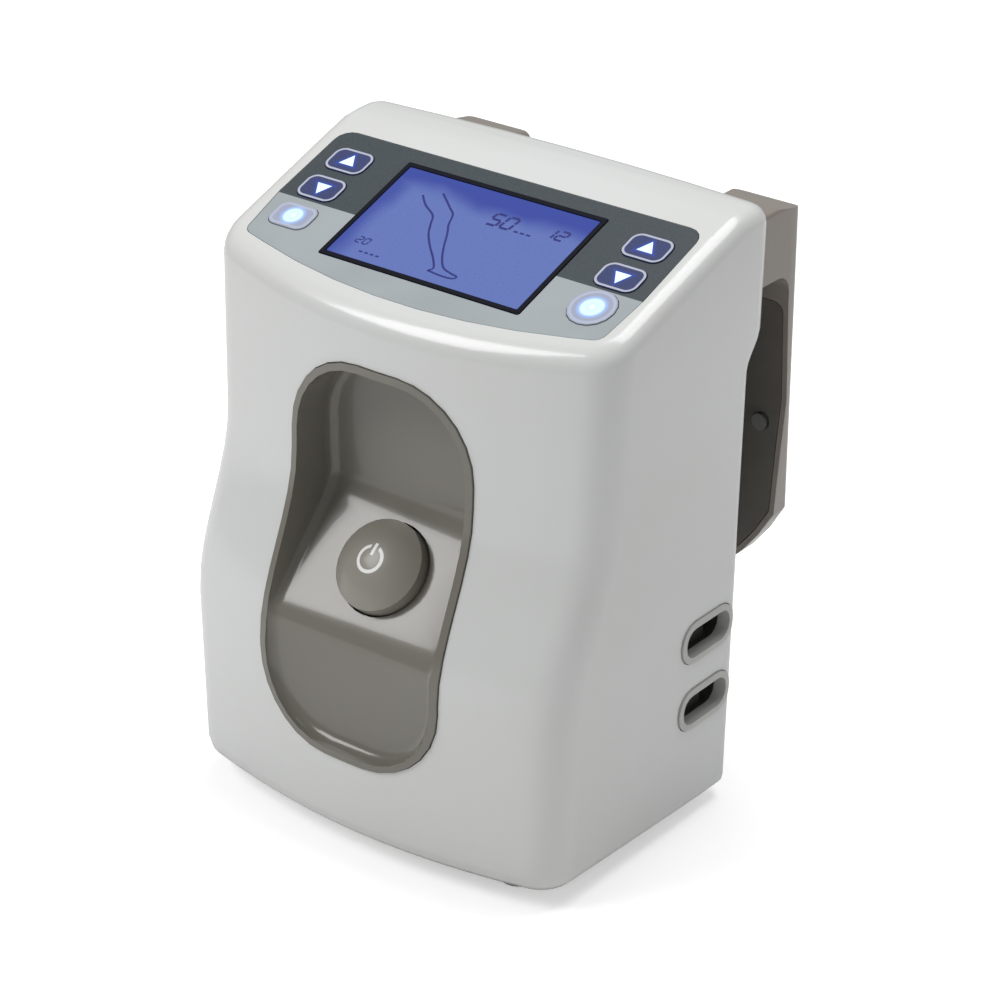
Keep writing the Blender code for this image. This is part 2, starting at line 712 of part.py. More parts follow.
def ramp(distance):
    """0 below -CONSOLE_BLEND, the distance itself above it, and a parabola between."""
    if distance >= CONSOLE_BLEND:
        return distance
    return max(distance + CONSOLE_BLEND, 0.0) ** 2 / (4 * CONSOLE_BLEND)


CONSOLE_RUN = 1 / math.tan(CONSOLE_SLOPE)
CONSOLE_LOW_Z = BUTTON_Z - (BUTTON_Y - RECESS_LOW_Y) / CONSOLE_RUN
CONSOLE_HIGH_Z = BUTTON_Z + (RECESS_BACK_Y - BUTTON_Y) / CONSOLE_RUN


def recess_back_y(z):
    """Back of the recess: an upright lower face, the sloping console and the deep back wall above it."""
    return RECESS_LOW_Y + CONSOLE_RUN * (ramp(z - CONSOLE_LOW_Z) - ramp(z - CONSOLE_HIGH_Z))


RECESS_ARC_STEPS = 7
BLEND_SHARES = (1.0, 0.5, 0.0, -0.5, -1.0)


def recess_half(inset):
    """Half outline of the recess as (x, z), from its top middle round +X to its bottom middle."""
    radius = RECESS_CORNER - inset
    x = RECESS_WIDTH / 2 - RECESS_CORNER
    upper, lower = RECESS_TOP_Z - RECESS_CORNER, RECESS_BOTTOM_Z + RECESS_CORNER
    quarter = [math.pi / 2 * k / RECESS_ARC_STEPS for k in range(RECESS_ARC_STEPS + 1)]
    points = [(0.0, upper + radius)]
    points += [(x + radius * math.sin(angle), upper + radius * math.cos(angle)) for angle in quarter]
    for middle in (CONSOLE_HIGH_Z, CONSOLE_LOW_Z):
        points += [(x + radius, middle + CONSOLE_BLEND * share) for share in BLEND_SHARES]
    points += [(x + radius * math.cos(angle), lower - radius * math.sin(angle)) for angle in quarter]
    points.append((0.0, lower - radius))
    return points


def recess_ring(inset, depth=None):
    """Half ring of the recess well before the housing, or at a depth in front of the recess's back."""
    outside = FRONT_Y - OVERRUN
    return [(x, outside if depth is None else recess_back_y(z) - depth, z) for x, z in recess_half(inset)]


def build_recess(shell):
    rings = [recess_ring(0.0), recess_ring(0.0, -LINER_WALL)]
    liner = mirrored_loft("recess_liner", rings, "taupe_plastic")
    boolean(liner, skin("liner_skin", -RIM_PROUD), "INTERSECT")
    boolean(shell, mirrored_loft("recess_opening", [recess_ring(-GAP), recess_ring(-GAP, -LINER_WALL)]))
    rings = [recess_ring(RIM_WIDTH)]
    for k in range(FILLET_STEPS):
        angle = math.pi / 2 * k / (FILLET_STEPS - 1)
        inset = RIM_WIDTH + LINER_FILLET * (1 - math.cos(angle))
        rings.append(recess_ring(inset, LINER_FILLET * (1 - math.sin(angle))))
    boolean(liner, mirrored_loft("recess_cavity", rings))
    reach = LINER_WALL + LINER_FILLET
    boolean(liner, rod("button_hole", BUTTON_HOLE_RADIUS, -reach, reach, BUTTON_FRAME, None, BUTTON_STEPS))


def build_button():
    dome_rise = BUTTON_HEIGHT - BUTTON_SIDE
    dome_radius = (BUTTON_RADIUS**2 + dome_rise**2) / (2 * dome_rise)
    profile = []
    for k in range(DOME_STEPS + 1):
        radius = BUTTON_RADIUS * k / DOME_STEPS
        profile.append((radius, BUTTON_HEIGHT - dome_radius + math.sqrt(dome_radius**2 - radius**2)))
    inner = BUTTON_RADIUS - BUTTON_WALL
    roof = BUTTON_SIDE - BUTTON_WALL
    profile += [(BUTTON_RADIUS, -BUTTON_SKIRT), (inner, -BUTTON_SKIRT), (inner, roof)]
    profile += [(BUTTON_STEM_RADIUS, roof), (BUTTON_STEM_RADIUS, -BUTTON_STEM), (0.0, -BUTTON_STEM)]
    smooth(turned("power_button", profile, BUTTON_FRAME, "taupe_plastic", BUTTON_STEPS))

    rim = -LINER_WALL * math.sin(CONSOLE_SLOPE) - GAP
    floor = -BUTTON_SKIRT - BUTTON_TRAVEL - GAP
    bore = BUTTON_STEM_RADIUS + GAP
    bore_end = -BUTTON_STEM - BUTTON_TRAVEL - GAP
    outer = BUTTON_HOLE_RADIUS + SWITCH_WALL
    under = floor - SWITCH_FLOOR
    foot = bore_end - SWITCH_FLOOR
    profile = [(0.0, bore_end), (bore, bore_end), (bore, floor), (BUTTON_HOLE_RADIUS, floor)]
    profile += [(BUTTON_HOLE_RADIUS, rim), (outer, rim), (outer, under)]
    profile += [(SWITCH_BOSS_RADIUS, under), (SWITCH_BOSS_RADIUS, foot), (0.0, foot)]
    turned("power_switch", profile, BUTTON_FRAME, "dark_plastic", BUTTON_STEPS)


# Control panel


def overlay_corners():
    arc = []
    for share in OVERLAY_ARC_SHARES:
        x = OVERLAY_FRONT_HALF * share
        arc.append((x, OVERLAY_FRONT_EDGE + x * x / (2 * OVERLAY_ARC_RADIUS), 0.0))
    right = [
        (OVERLAY_FRONT_HALF, OVERLAY_SIDE_EDGE, OVERLAY_FRONT_CORNER),
        (OVERLAY_MIDDLE_HALF, OVERLAY_MIDDLE_EDGE, 0.0),
        (OVERLAY_BACK_HALF, OVERLAY_BACK_EDGE, OVERLAY_BACK_CORNER),
    ]
    left = [(-x, y, radius) for x, y, radius in reversed(right)]
    return arc + right + left


def lcd_corners():
    return box_corners(-LCD_WIDTH / 2, LCD_WIDTH / 2, -LCD_DEPTH / 2, LCD_DEPTH / 2, LCD_CORNER)


def key_list():
    """Name, centre and corners of each key's pad."""
    keys = []
    for side, x in (("left", -KEY_X), ("right", KEY_X)):
        for use, y in (("up", KEY_UP_Y), ("down", KEY_DOWN_Y), ("glow", KEY_GLOW_Y)):
            is_round = side == "right" and use == "glow"
            half_depth = (KEY_WIDTH if is_round else KEY_DEPTH) / 2
            corner = KEY_WIDTH / 2 - GAP if is_round else KEY_CORNER
            edges = (x - KEY_WIDTH / 2, x + KEY_WIDTH / 2, y - half_depth, y + half_depth)
            keys.append((f"key_{side}_{use}", (x, y), box_corners(*edges, corner)))
    return keys


def build_panel(shell):
    holes = [rounded(lcd_corners(), -GAP)] + [rounded(corners, -GAP) for _, _, corners in key_list()]
    outline = rounded(overlay_corners())
    bottom = OVERLAY_TOP - OVERLAY_THICKNESS
    plate("control_overlay", [outline, *holes], bottom, OVERLAY_TOP, PANEL_FRAME, "overlay_film")

    frame = [rounded(lcd_corners()), rounded(lcd_corners(), LCD_FRAME)]
    plate("lcd_bezel", frame, BEZEL_BOTTOM, LCD_PROUD, PANEL_FRAME, "black_plastic")
    glass = [rounded(lcd_corners(), LCD_FRAME + GAP)]
    plate("lcd_window", glass, -LCD_GLASS_HEIGHT, 0.0, PANEL_FRAME, "display_glass")
    body = [rounded(lcd_corners(), -LCD_MODULE_MARGIN)]
    module = plate("lcd_module", body, MODULE_BOTTOM, MODULE_TOP, PANEL_FRAME, "grey_plastic")
    cell = plate("lcd_cell", glass, MODULE_TOP - BITE, -LCD_GLASS_HEIGHT - GAP, PANEL_FRAME)
    boolean(module, cell, "UNION")

    edges = box_corners(-BOARD_HALF_WIDTH, BOARD_HALF_WIDTH, -BOARD_HALF_DEPTH, BOARD_HALF_DEPTH)
    board = plate("display_board", [rounded(edges)], BOARD_BOTTOM, BOARD_TOP, PANEL_FRAME, "board")
    for name, (x, y), corners in key_list():
        low = (x - TACT_SIZE / 2, y - TACT_SIZE / 2, BOARD_TOP - BITE)
        high = (x + TACT_SIZE / 2, y + TACT_SIZE / 2, BOARD_TOP + TACT_HEIGHT)
        boolean(board, block(f"{name}_switch", low, high, PANEL_FRAME), "UNION")
        finish = "glow_film" if name.endswith("glow") else "key_film"
        pad_bottom = KEY_PROUD - KEY_THICKNESS
        frame = PANEL_FRAME @ at(x, y)
        local = [(cx - x, cy - y, radius) for cx, cy, radius in corners]
        pad = plate(name, [rounded(local)], pad_bottom, KEY_PROUD, frame, finish)
        stem_end = BOARD_TOP + TACT_HEIGHT + KEY_TRAVEL + GAP
        stem = rod(f"{name}_stem", KEY_STEM_RADIUS, stem_end, pad_bottom + BITE, frame)
        boolean(pad, stem, "UNION")
        stem_hole = rod(f"{name}_hole", KEY_STEM_RADIUS + RUNNING_GAP, stem_end, OVERRUN, frame)
        boolean(shell, stem_hole)
    for number, (side_x, side_y) in enumerate(((-1, -1), (1, -1), (1, 1), (-1, 1)), 1):
        frame = PANEL_FRAME @ at(side_x * POST_X, side_y * POST_Y)
        post = rod(f"board_post_{number}", POST_RADIUS, BOARD_TOP + GAP, -WALL + BITE, frame)
        boolean(shell, post, "UNION")
    pocket = plate("overlay_pocket", [rounded(overlay_corners(), -GAP)], POCKET_FLOOR, OVERRUN, PANEL_FRAME)
    boolean(shell, pocket)
    opening = plate("lcd_opening", [rounded(lcd_corners(), -GAP)], BOARD_TOP, OVERRUN, PANEL_FRAME)
    boolean(shell, opening)


# Hose ports


def port_corners(z, end_y=PORT_REAR_Y, corner=PORT_CORNER):
    return box_corners(PORT_FRONT_Y, end_y, z - PORT_HEIGHT / 2, z + PORT_HEIGHT / 2, corner)


def build_ports(shell):
    proud_skin = skin("port_skin", -PORT_PROUD)
    socket_rear_y = COVER_FRONT_Y - SOCKET_END_MARGIN
    for name, z in PORT_HEIGHTS.items():
        side_x = half_width(z)
        bezel_x = side_x - PORT_BEZEL_DEPTH
        outline = [rounded(port_corners(z))]
        outer_x = side_x + OVERRUN
        bezel = plate(f"port_bezel_{name}", outline, bezel_x, outer_x, SIDE_FRAME, "grey_plastic")
        boolean(bezel, proud_skin, "INTERSECT")
        mouth = rounded(port_corners(z), PORT_RIM)
        boolean(bezel, plate(f"port_mouth_{name}", [mouth], bezel_x - OVERRUN, outer_x, SIDE_FRAME))
        hole = rounded(port_corners(z), -GAP)
        boolean(shell, plate(f"port_hole_{name}", [hole], bezel_x - GAP, outer_x, SIDE_FRAME))

        socket_x = bezel_x - GAP
        corners = port_corners(z, socket_rear_y)
        bottom_x = socket_x - SOCKET_LENGTH
        floor_x = socket_x - SOCKET_CAVITY
        body = [rounded(corners)]
        socket = plate(f"port_socket_{name}", body, bottom_x, socket_x, SIDE_FRAME, "dark_plastic")
        hollow = [rounded(corners, PORT_RIM)]
        boolean(socket, plate(f"socket_cavity_{name}", hollow, floor_x, socket_x + OVERRUN, SIDE_FRAME))
        cavity_bottom = z - PORT_HEIGHT / 2 + PORT_RIM
        low = (floor_x - BITE, PORT_FRONT_Y + PORT_CORNER, cavity_bottom - BITE)
        high = (socket_x - LEDGE_SETBACK, socket_rear_y - PORT_CORNER, cavity_bottom + LEDGE_HEIGHT)
        boolean(socket, block(f"socket_ledge_{name}", low, high), "UNION")
        middle_y = (PORT_FRONT_Y + socket_rear_y) / 2
        for side in (-1, 1):
            frame = SIDE_FRAME @ at(middle_y + side * NIPPLE_SPACING / 2, z + NIPPLE_RISE)
            reach = (floor_x - BITE, floor_x + NIPPLE_LENGTH)
            boolean(socket, rod(f"nipple_{name}_{side + 1}", NIPPLE_RADIUS, *reach, frame), "UNION")


def build_feet():
    places = {
        "front_left": (-FOOT_X, FRONT_Y + FOOT_FRONT_SETBACK),
        "front_right": (FOOT_X, FRONT_Y + FOOT_FRONT_SETBACK),
        "rear_left": (-FOOT_X, LOW_REAR_Y - FOOT_REAR_SETBACK),
        "rear_right": (FOOT_X, LOW_REAR_Y - FOOT_REAR_SETBACK),
    }
    top = FOOT_HEIGHT - GAP
    profile = [(0.0, top), (FOOT_TOP_RADIUS, top), (FOOT_TOP_RADIUS, top - FOOT_COLLAR)]
    profile += [(FOOT_SOLE_RADIUS, FOOT_EDGE), (FOOT_SOLE_RADIUS - FOOT_EDGE, 0.0), (0.0, 0.0)]
    for name, (x, y) in places.items():
        smooth(turned(f"foot_{name}", profile, at(x, y), "rubber"))


# Bed hook


def hook_lower_arc():
    """Lower edge of the hook plate, from its left side round to its right side."""
    centre_z = PANEL_Z - HOOK_ARC_DROP
    open_angle = math.acos(HOOK_HALF_WIDTH / HOOK_ARC_RADIUS)
    points = []
    for k in range(HOOK_ARC_STEPS + 1):
        angle = math.pi + open_angle + (math.pi - 2 * open_angle) * k / HOOK_ARC_STEPS
        x = HOOK_CENTRE_X + HOOK_ARC_RADIUS * math.cos(angle)
        points.append((x, centre_z + HOOK_ARC_RADIUS * math.sin(angle), 0.0))
    return points


def hook_corners():
    """Front view of the hook: a wide plate with two arms at its top corners."""
    left, right = HOOK_CENTRE_X - HOOK_HALF_WIDTH, HOOK_CENTRE_X + HOOK_HALF_WIDTH
    return hook_lower_arc() + [
        (right, ARM_TOP_Z, ARM_OUTER_CORNER),
        (right - ARM_WIDTH, ARM_TOP_Z, ARM_INNER_CORNER),
        (right - ARM_WIDTH, NOTCH_Z, ARM_INNER_CORNER),
        (left + ARM_WIDTH, NOTCH_Z, ARM_INNER_CORNER),
        (left + ARM_WIDTH, ARM_TOP_Z, ARM_INNER_CORNER),
        (left, ARM_TOP_Z, ARM_OUTER_CORNER),
    ]


def hook_side_corners():
    """Side view of the hook as (y, z): arm, plate and the gap that takes the bed rail."""
    low = PANEL_Z - HOOK_ARC_DROP - HOOK_ARC_RADIUS - OVERRUN
    fall_y = HOOK_REAR_Y - ARM_FALL_LENGTH
    return [
        (HOOK_REAR_Y - HOOK_TOE_THICKNESS, low, 0.0),
        (HOOK_REAR_Y + OVERRUN, low, 0.0),
        (HOOK_REAR_Y + OVERRUN, ARM_TOP_Z - ARM_FALL * (1 + OVERRUN / ARM_FALL_LENGTH), 0.0),
        (fall_y, ARM_TOP_Z + BITE, 0.0),
        (ARM_FRONT_Y, ARM_TOP_Z + BITE, 0.0),
        (ARM_FRONT_Y, ARM_BOTTOM_Z, 0.0),
        (HOOK_REAR_Y - HOOK_TOP_THICKNESS, ARM_BOTTOM_Z, HOOK_ROOT_FILLET),
        (HOOK_REAR_Y - HOOK_TOP_THICKNESS, PANEL_Z - HOOK_ROOT_DROP, 0.0),
        (HOOK_REAR_Y - HOOK_NECK_THICKNESS, PANEL_Z - HOOK_NECK_DROP, 0.0),
        (HOOK_REAR_Y - HOOK_KNEE_THICKNESS, PANEL_Z - HOOK_KNEE_DROP, 0.0),
        (HOOK_REAR_Y - HOOK_TOE_THICKNESS, PANEL_Z - HOOK_TOE_DROP, 0.0),
    ]


def arm_corners(left):
    """Section of one arm, whose well rounded top corner looks to the middle of the hook."""
    right = left + ARM_WIDTH
    is_right_arm = left > HOOK_CENTRE_X
    return [
        (left, ARM_BOTTOM_Z, 0.0),
        (right, ARM_BOTTOM_Z, 0.0),
        (right, ARM_TOP_Z, ARM_OUTER_CORNER if is_right_arm else ARM_INNER_CORNER),
        (left, ARM_TOP_Z, ARM_INNER_CORNER if is_right_arm else ARM_OUTER_CORNER),
    ]


def build_hook(shell):
    sections = [(rounded(hook_corners()), OVERRUN - ARM_FRONT_Y)]
    for k in range(FILLET_STEPS):
        angle = math.pi / 2 * k / (FILLET_STEPS - 1)
        outline = rounded(hook_corners(), HOOK_EDGE * (1 - math.cos(angle)))
        sections.append((outline, HOOK_EDGE * (1 - math.sin(angle)) - HOOK_REAR_Y))
    hook = stacked("hook_shell", sections, FRONT_FRAME, "taupe_plastic")
    left, right = HOOK_CENTRE_X - HOOK_HALF_WIDTH, HOOK_CENTRE_X + HOOK_HALF_WIDTH
    side = plate("hook_side", [rounded(hook_side_corners())], left - OVERRUN, right + OVERRUN, SIDE_FRAME)
    boolean(hook, side, "INTERSECT")

    face = hook_lower_arc() + [(right, NOTCH_Z, LINER_CORNER), (left, NOTCH_Z, LINER_CORNER)]
    floor_y = HOOK_REAR_Y - HOOK_SKIN
    pocket = plate("hook_pocket", [rounded(face, LINER_MARGIN)], -floor_y, OVERRUN, FRONT_FRAME)
    boolean(hook, pocket)
    inner = [rounded(face, LINER_MARGIN + GAP)]
    liner = plate("hook_liner", inner, GAP - floor_y, OVERRUN, FRONT_FRAME, "taupe_plastic")
    boolean(liner, side, "INTERSECT")
    screw_z = PANEL_Z - HOOK_SCREW_DROP
    head_y = floor_y - HOOK_SKIN - SCREW_HEAD_HEIGHT / 2
    for name, x in (("left", left + HOOK_SCREW_MARGIN), ("right", right - HOOK_SCREW_MARGIN)):
        frame = FRONT_FRAME @ at(x, screw_z, -head_y)
        screw(f"hook_screw_{name}", frame, HOOK_SKIN / 2, [liner])

    for number, x in enumerate(ARM_CENTRES, 1):
        low = (x - TONGUE_WIDTH / 2, TONGUE_FRONT_Y, TONGUE_BOTTOM_Z)
        high = (x + TONGUE_WIDTH / 2, ARM_FRONT_Y + BITE, TONGUE_TOP_Z)
        boolean(hook, block(f"tongue_{number}", low, high), "UNION")
        slot = [rounded(arm_corners(x - ARM_WIDTH / 2), -RUNNING_GAP)]
        through = (-REAR_Y - OVERRUN, -ARM_FRONT_Y - BITE)
        boolean(shell, plate(f"arm_slot_{number}", slot, *through, FRONT_FRAME))


def build_carrier(shell):
    """Bracket across the housing, with a channel for each tongue of the hook, on two wall ledges."""
    half = half_width(CARRIER_BOTTOM_Z) - WALL - GAP
    carrier_front_y = REAR_Y - CARRIER_FRONT_SETBACK
    lip_bottom = TONGUE_TOP_Z + RUNNING_GAP
    lip_top = lip_bottom + CHANNEL_WALL
    corners = [(-half, CARRIER_BOTTOM_Z, 0.0), (half, CARRIER_BOTTOM_Z, 0.0), (half, CARRIER_TOP_Z, 0.0)]
    for x in reversed(ARM_CENTRES):
        inner = TONGUE_WIDTH / 2 + RUNNING_GAP
        outer = inner + CHANNEL_WALL
        lip = inner - CHANNEL_LIP
        channel = [(outer, CARRIER_TOP_Z), (outer, lip_top), (lip, lip_top), (lip, lip_bottom)]
        channel += [(inner, lip_bottom), (inner, CARRIER_TOP_Z)]
        corners += [(x + reach, z, 0.0) for reach, z in channel]
        corners += [(x - reach, z, 0.0) for reach, z in reversed(channel)]
    corners.append((-half, CARRIER_TOP_Z, 0.0))
    length = (-CARRIER_REAR_Y, -carrier_front_y)
    plate("hook_carrier", [rounded(corners)], *length, FRONT_FRAME, "dark_plastic")
    for side in (-1, 1):
        inner_x, outer_x = side * (half - LEDGE_WIDTH), side * (half + GAP + WALL / 2)
        low = (min(inner_x, outer_x), carrier_front_y, CARRIER_BOTTOM_Z - GAP - LEDGE_THICKNESS)
        high = (max(inner_x, outer_x), CARRIER_REAR_Y, CARRIER_BOTTOM_Z - GAP)
        boolean(shell, block(f"carrier_ledge_{side + 1}", low, high), "UNION")


# Rear cover


def screw(name, frame, length, hosts):
    """Screw with a round head, and its counterbored hole in each host. The frame's Z points out of it."""
    profile = [(0.0, SCREW_HEAD_HEIGHT), (SCREW_HEAD_RADIUS, SCREW_HEAD_HEIGHT), (SCREW_HEAD_RADIUS, 0.0)]
    profile += [(SCREW_SHANK_RADIUS, 0.0), (SCREW_SHANK_RADIUS, -length), (0.0, -length)]
    turned(name, profile, frame, "steel", SMALL_ROUND_STEPS)
    head = SCREW_HEAD_RADIUS + GAP
    shank = SCREW_SHANK_RADIUS + GAP
    bottom = -length - GAP
    bore = [(0.0, OVERRUN), (head, OVERRUN), (head, -GAP), (shank, -GAP), (shank, bottom), (0.0, bottom)]
    cutter = turned(f"{name}_bore", bore, frame, None, SMALL_ROUND_STEPS)
    for host in hosts:
        boolean(host, cutter)


def build_rear_cover(shell):
    corners = box_corners(-COVER_HALF_WIDTH, COVER_HALF_WIDTH, COVER_BOTTOM_Z, COVER_TOP_Z, COVER_CORNER)
    through = (-LOW_REAR_Y - OVERRUN, -COVER_FRONT_Y + BITE)
    boolean(shell, plate("cover_opening", [rounded(corners)], *through, FRONT_FRAME))
    panel = [rounded(corners, GAP)]
    cover = plate("rear_cover", panel, -LOW_REAR_Y, -COVER_FRONT_Y, FRONT_FRAME, "white_plastic")
    screw_x = COVER_HALF_WIDTH - SCREW_INSET
    head_y = LOW_REAR_Y - SCREW_HEAD_HEIGHT - GAP
    out = Matrix.Rotation(math.radians(-90.0), 4, "X")
    for row, z in (("lower", COVER_BOTTOM_Z + SCREW_INSET), ("upper", COVER_TOP_Z - SCREW_INSET)):
        for side, sign in (("left", -1), ("right", 1)):
            inner_x, outer_x = sign * (screw_x - SCREW_INSET), sign * (half_width(z) - WALL / 2)
            low = (min(inner_x, outer_x), COVER_FRONT_Y - GAP - TAB_THICKNESS, z - TAB_HALF_HEIGHT)
            high = (max(inner_x, outer_x), COVER_FRONT_Y - GAP, z + TAB_HALF_HEIGHT)
            boolean(shell, block(f"tab_{row}_{side}", low, high), "UNION")
            seat = at(sign * screw_x, head_y, z) @ out
            screw(f"cover_screw_{row}_{side}", seat, SCREW_LENGTH, [cover, shell])
    vent_top = COVER_TOP_Z - VENT_TOP_DROP
    for k in range(VENT_COUNT):
        x = VENT_CENTRE_X + (k - (VENT_COUNT - 1) / 2) * VENT_PITCH
        low = (x - VENT_WIDTH / 2, COVER_FRONT_Y - OVERRUN, vent_top - VENT_HEIGHT)
        high = (x + VENT_WIDTH / 2, LOW_REAR_Y + OVERRUN, vent_top)
        boolean(cover, block(f"vent_{k + 1}", low, high))

    left, right = INLET_X - INLET_WIDTH / 2, INLET_X + INLET_WIDTH / 2
    bottom, top = INLET_Z - INLET_HEIGHT / 2, INLET_Z + INLET_HEIGHT / 2
    body = box_corners(left, right, bottom, top, INLET_CORNER)
    rear = -LOW_REAR_Y - OVERRUN
    opening = [rounded(body, -GAP)]
    boolean(cover, plate("inlet_opening", opening, rear, -COVER_FRONT_Y + OVERRUN, FRONT_FRAME))
    face_y = LOW_REAR_Y + GAP + INLET_FLANGE
    depth = (-face_y, INLET_DEPTH - face_y)
    inlet = plate("mains_inlet", [rounded(body)], *depth, FRONT_FRAME, "black_plastic")
    flange = [rounded(body, -INLET_FLANGE)]
    flange = plate("inlet_flange", flange, -face_y, -LOW_REAR_Y - GAP, FRONT_FRAME)
    boolean(inlet, flange, "UNION")
    cavity = [rounded(body, INLET_WALL)]
    boolean(inlet, plate("inlet_cavity", cavity, rear, INLET_CAVITY - face_y, FRONT_FRAME))
    floor_y = face_y - INLET_CAVITY
    for k in (-1, 0, 1):
        x = INLET_X + k * PIN_SPACING
        z = INLET_Z + (PIN_WIDTH if k == 0 else -PIN_WIDTH) / 2
        low = (x - PIN_WIDTH / 2, floor_y - BITE, z - PIN_HEIGHT / 2)
        high = (x + PIN_WIDTH / 2, floor_y + PIN_LENGTH, z + PIN_HEIGHT / 2)
        boolean(inlet, block(f"inlet_pin_{k + 2}", low, high), "UNION")


# Pieces inside the housing


def build_inside(shell):
    left, right = -CHASSIS_LEFT, CHASSIS_RIGHT
    inner = left + CHASSIS_THICKNESS
    upright = CHASSIS_TOP_Z + CHASSIS_UPRIGHT
    section = [
        (left, CHASSIS_BOTTOM_Z, 0.0),
        (right, CHASSIS_BOTTOM_Z, 0.0),
        (right, CHASSIS_TOP_Z, 0.0),
        (inner, CHASSIS_TOP_Z, 0.0),
        (inner, upright, 0.0),
        (left, upright, 0.0),
    ]
    plate("chassis", [rounded(section)], -CHASSIS_REAR_Y, -CHASSIS_FRONT_Y, FRONT_FRAME, "steel")
    height = (FLOOR_Z - BITE, CHASSIS_BOTTOM_Z - GAP)
    rows = {"front": CHASSIS_FRONT_Y + FLOOR_POST_INSET, "rear": CHASSIS_REAR_Y - FLOOR_POST_INSET}
    for row, y in rows.items():
        for side, x in (("left", left + FLOOR_POST_INSET), ("right", right - FLOOR_POST_INSET)):
            post = rod(f"floor_post_{row}_{side}", FLOOR_POST_RADIUS, *height, at(x, y))
            boolean(shell, post, "UNION")

    board_x = inner + GAP
    low = (board_x, CHASSIS_FRONT_Y + MAIN_BOARD_MARGIN, CHASSIS_TOP_Z + MAIN_BOARD_RISE)
    high = (board_x + BOARD_THICKNESS, CHASSIS_REAR_Y - MAIN_BOARD_MARGIN, upright - MAIN_BOARD_MARGIN)
    block("main_board", low, high, None, "board")
    seat_z = CHASSIS_TOP_Z + GAP
    supply_left = left + SUPPLY_OFFSET
    supply_front = CHASSIS_FRONT_Y + CHASSIS_THICKNESS
    high = (supply_left + SUPPLY_WIDTH, supply_front + SUPPLY_DEPTH, seat_z + SUPPLY_HEIGHT)
    block("power_supply", (supply_left, supply_front, seat_z), high, None, "steel")
    build_air_pump(seat_z)
    build_valves()


def pump_centre_y():
    return COVER_FRONT_Y - PUMP_REAR_MARGIN - PUMP_BASE_DEPTH / 2 + CUSHION_RADIUS / 2


def build_air_pump(seat_z):
    centre_y = pump_centre_y()
    base_z = seat_z + CUSHION_HEIGHT + GAP
    half_width_x, half_depth = PUMP_BASE_WIDTH / 2, PUMP_BASE_DEPTH / 2
    low = (PUMP_CENTRE_X - half_width_x, centre_y - half_depth, base_z)
    high = (PUMP_CENTRE_X + half_width_x, centre_y + half_depth, base_z + PUMP_BASE_THICKNESS)
    head = block("pump_head", low, high, None, "grey_plastic")
    head_left = PUMP_CENTRE_X + half_width_x - PUMP_HEAD_WIDTH
    top = base_z + PUMP_BASE_THICKNESS + PUMP_HEAD_HEIGHT
    low = (head_left, centre_y - half_depth + BITE, base_z + PUMP_BASE_THICKNESS / 2)
    high = (PUMP_CENTRE_X + half_width_x - BITE, centre_y + half_depth - BITE, top)
    boolean(head, block("pump_chamber", low, high), "UNION")
    motor_z = base_z + PUMP_BASE_THICKNESS + MOTOR_CLEARANCE + MOTOR_RADIUS
    motor_frame = SIDE_FRAME @ at(centre_y, motor_z, head_left - GAP)
    rod("pump_motor", MOTOR_RADIUS, -MOTOR_LENGTH, 0.0, motor_frame, "steel", ROUND_STEPS)
    profile = [(0.0, CUSHION_HEIGHT), (CUSHION_RADIUS, CUSHION_HEIGHT), (CUSHION_RADIUS, 0.0), (0.0, 0.0)]
    for row, sign_y in (("front", -1), ("rear", 1)):
        for side, sign_x in (("left", -1), ("right", 1)):
            x = PUMP_CENTRE_X + sign_x * (half_width_x - CUSHION_INSET)
            y = centre_y + sign_y * (half_depth - CUSHION_INSET)
            turned(f"pump_cushion_{row}_{side}", profile, at(x, y, seat_z), "rubber", SMALL_ROUND_STEPS)


def build_valves():
    left, right = MANIFOLD_CENTRE_X - MANIFOLD_WIDTH / 2, MANIFOLD_CENTRE_X + MANIFOLD_WIDTH / 2
    rear = COVER_FRONT_Y - GAP
    front = rear - MANIFOLD_DEPTH
    bottom = BASE_Z + MANIFOLD_RISE
    top = bottom + MANIFOLD_HEIGHT
    block("valve_manifold", (left, front, bottom), (right, rear, top), None, "grey_plastic")
    middle_y = (front + rear) / 2
    for side, sign in (("left", -1), ("right", 1)):
        x = MANIFOLD_CENTRE_X + sign * VALVE_SPACING / 2
        rod(f"valve_{side}", VALVE_RADIUS, GAP, VALVE_HEIGHT, at(x, middle_y, top), "steel", ROUND_STEPS)

    middle_z = (bottom + top) / 2
    depth = PORT_BEZEL_DEPTH + GAP + SOCKET_LENGTH + GAP
    socket_x = {name: half_width(z) - depth for name, z in PORT_HEIGHTS.items()}
    start_x = right + GAP
    bend_x = (start_x + socket_x["upper"]) / 2
    upper_z, lower_z = PORT_HEIGHTS["upper"], PORT_HEIGHTS["lower"]
    route = [(start_x, middle_y, middle_z), (bend_x, middle_y, middle_z), (bend_x, middle_y, upper_z)]
    tube("air_tube_upper", route + [(socket_x["upper"], middle_y, upper_z)])
    lower_x = right - TUBE_LOWER_MARGIN
    route = [(lower_x, middle_y, bottom - GAP), (lower_x, middle_y, lower_z)]
    tube("air_tube_lower", route + [(socket_x["lower"], middle_y, lower_z)])
    pump_y = pump_centre_y()
    pump_top = CHASSIS_TOP_Z + CUSHION_HEIGHT + PUMP_BASE_THICKNESS + PUMP_HEAD_HEIGHT
    pump_top += 3 * GAP
    pump_x = PUMP_CENTRE_X + (PUMP_BASE_WIDTH - PUMP_HEAD_WIDTH) / 2
    route = [(pump_x, pump_y, pump_top), (pump_x, pump_y, middle_z), (pump_x, front - GAP, middle_z)]
    tube("pump_tube", route)


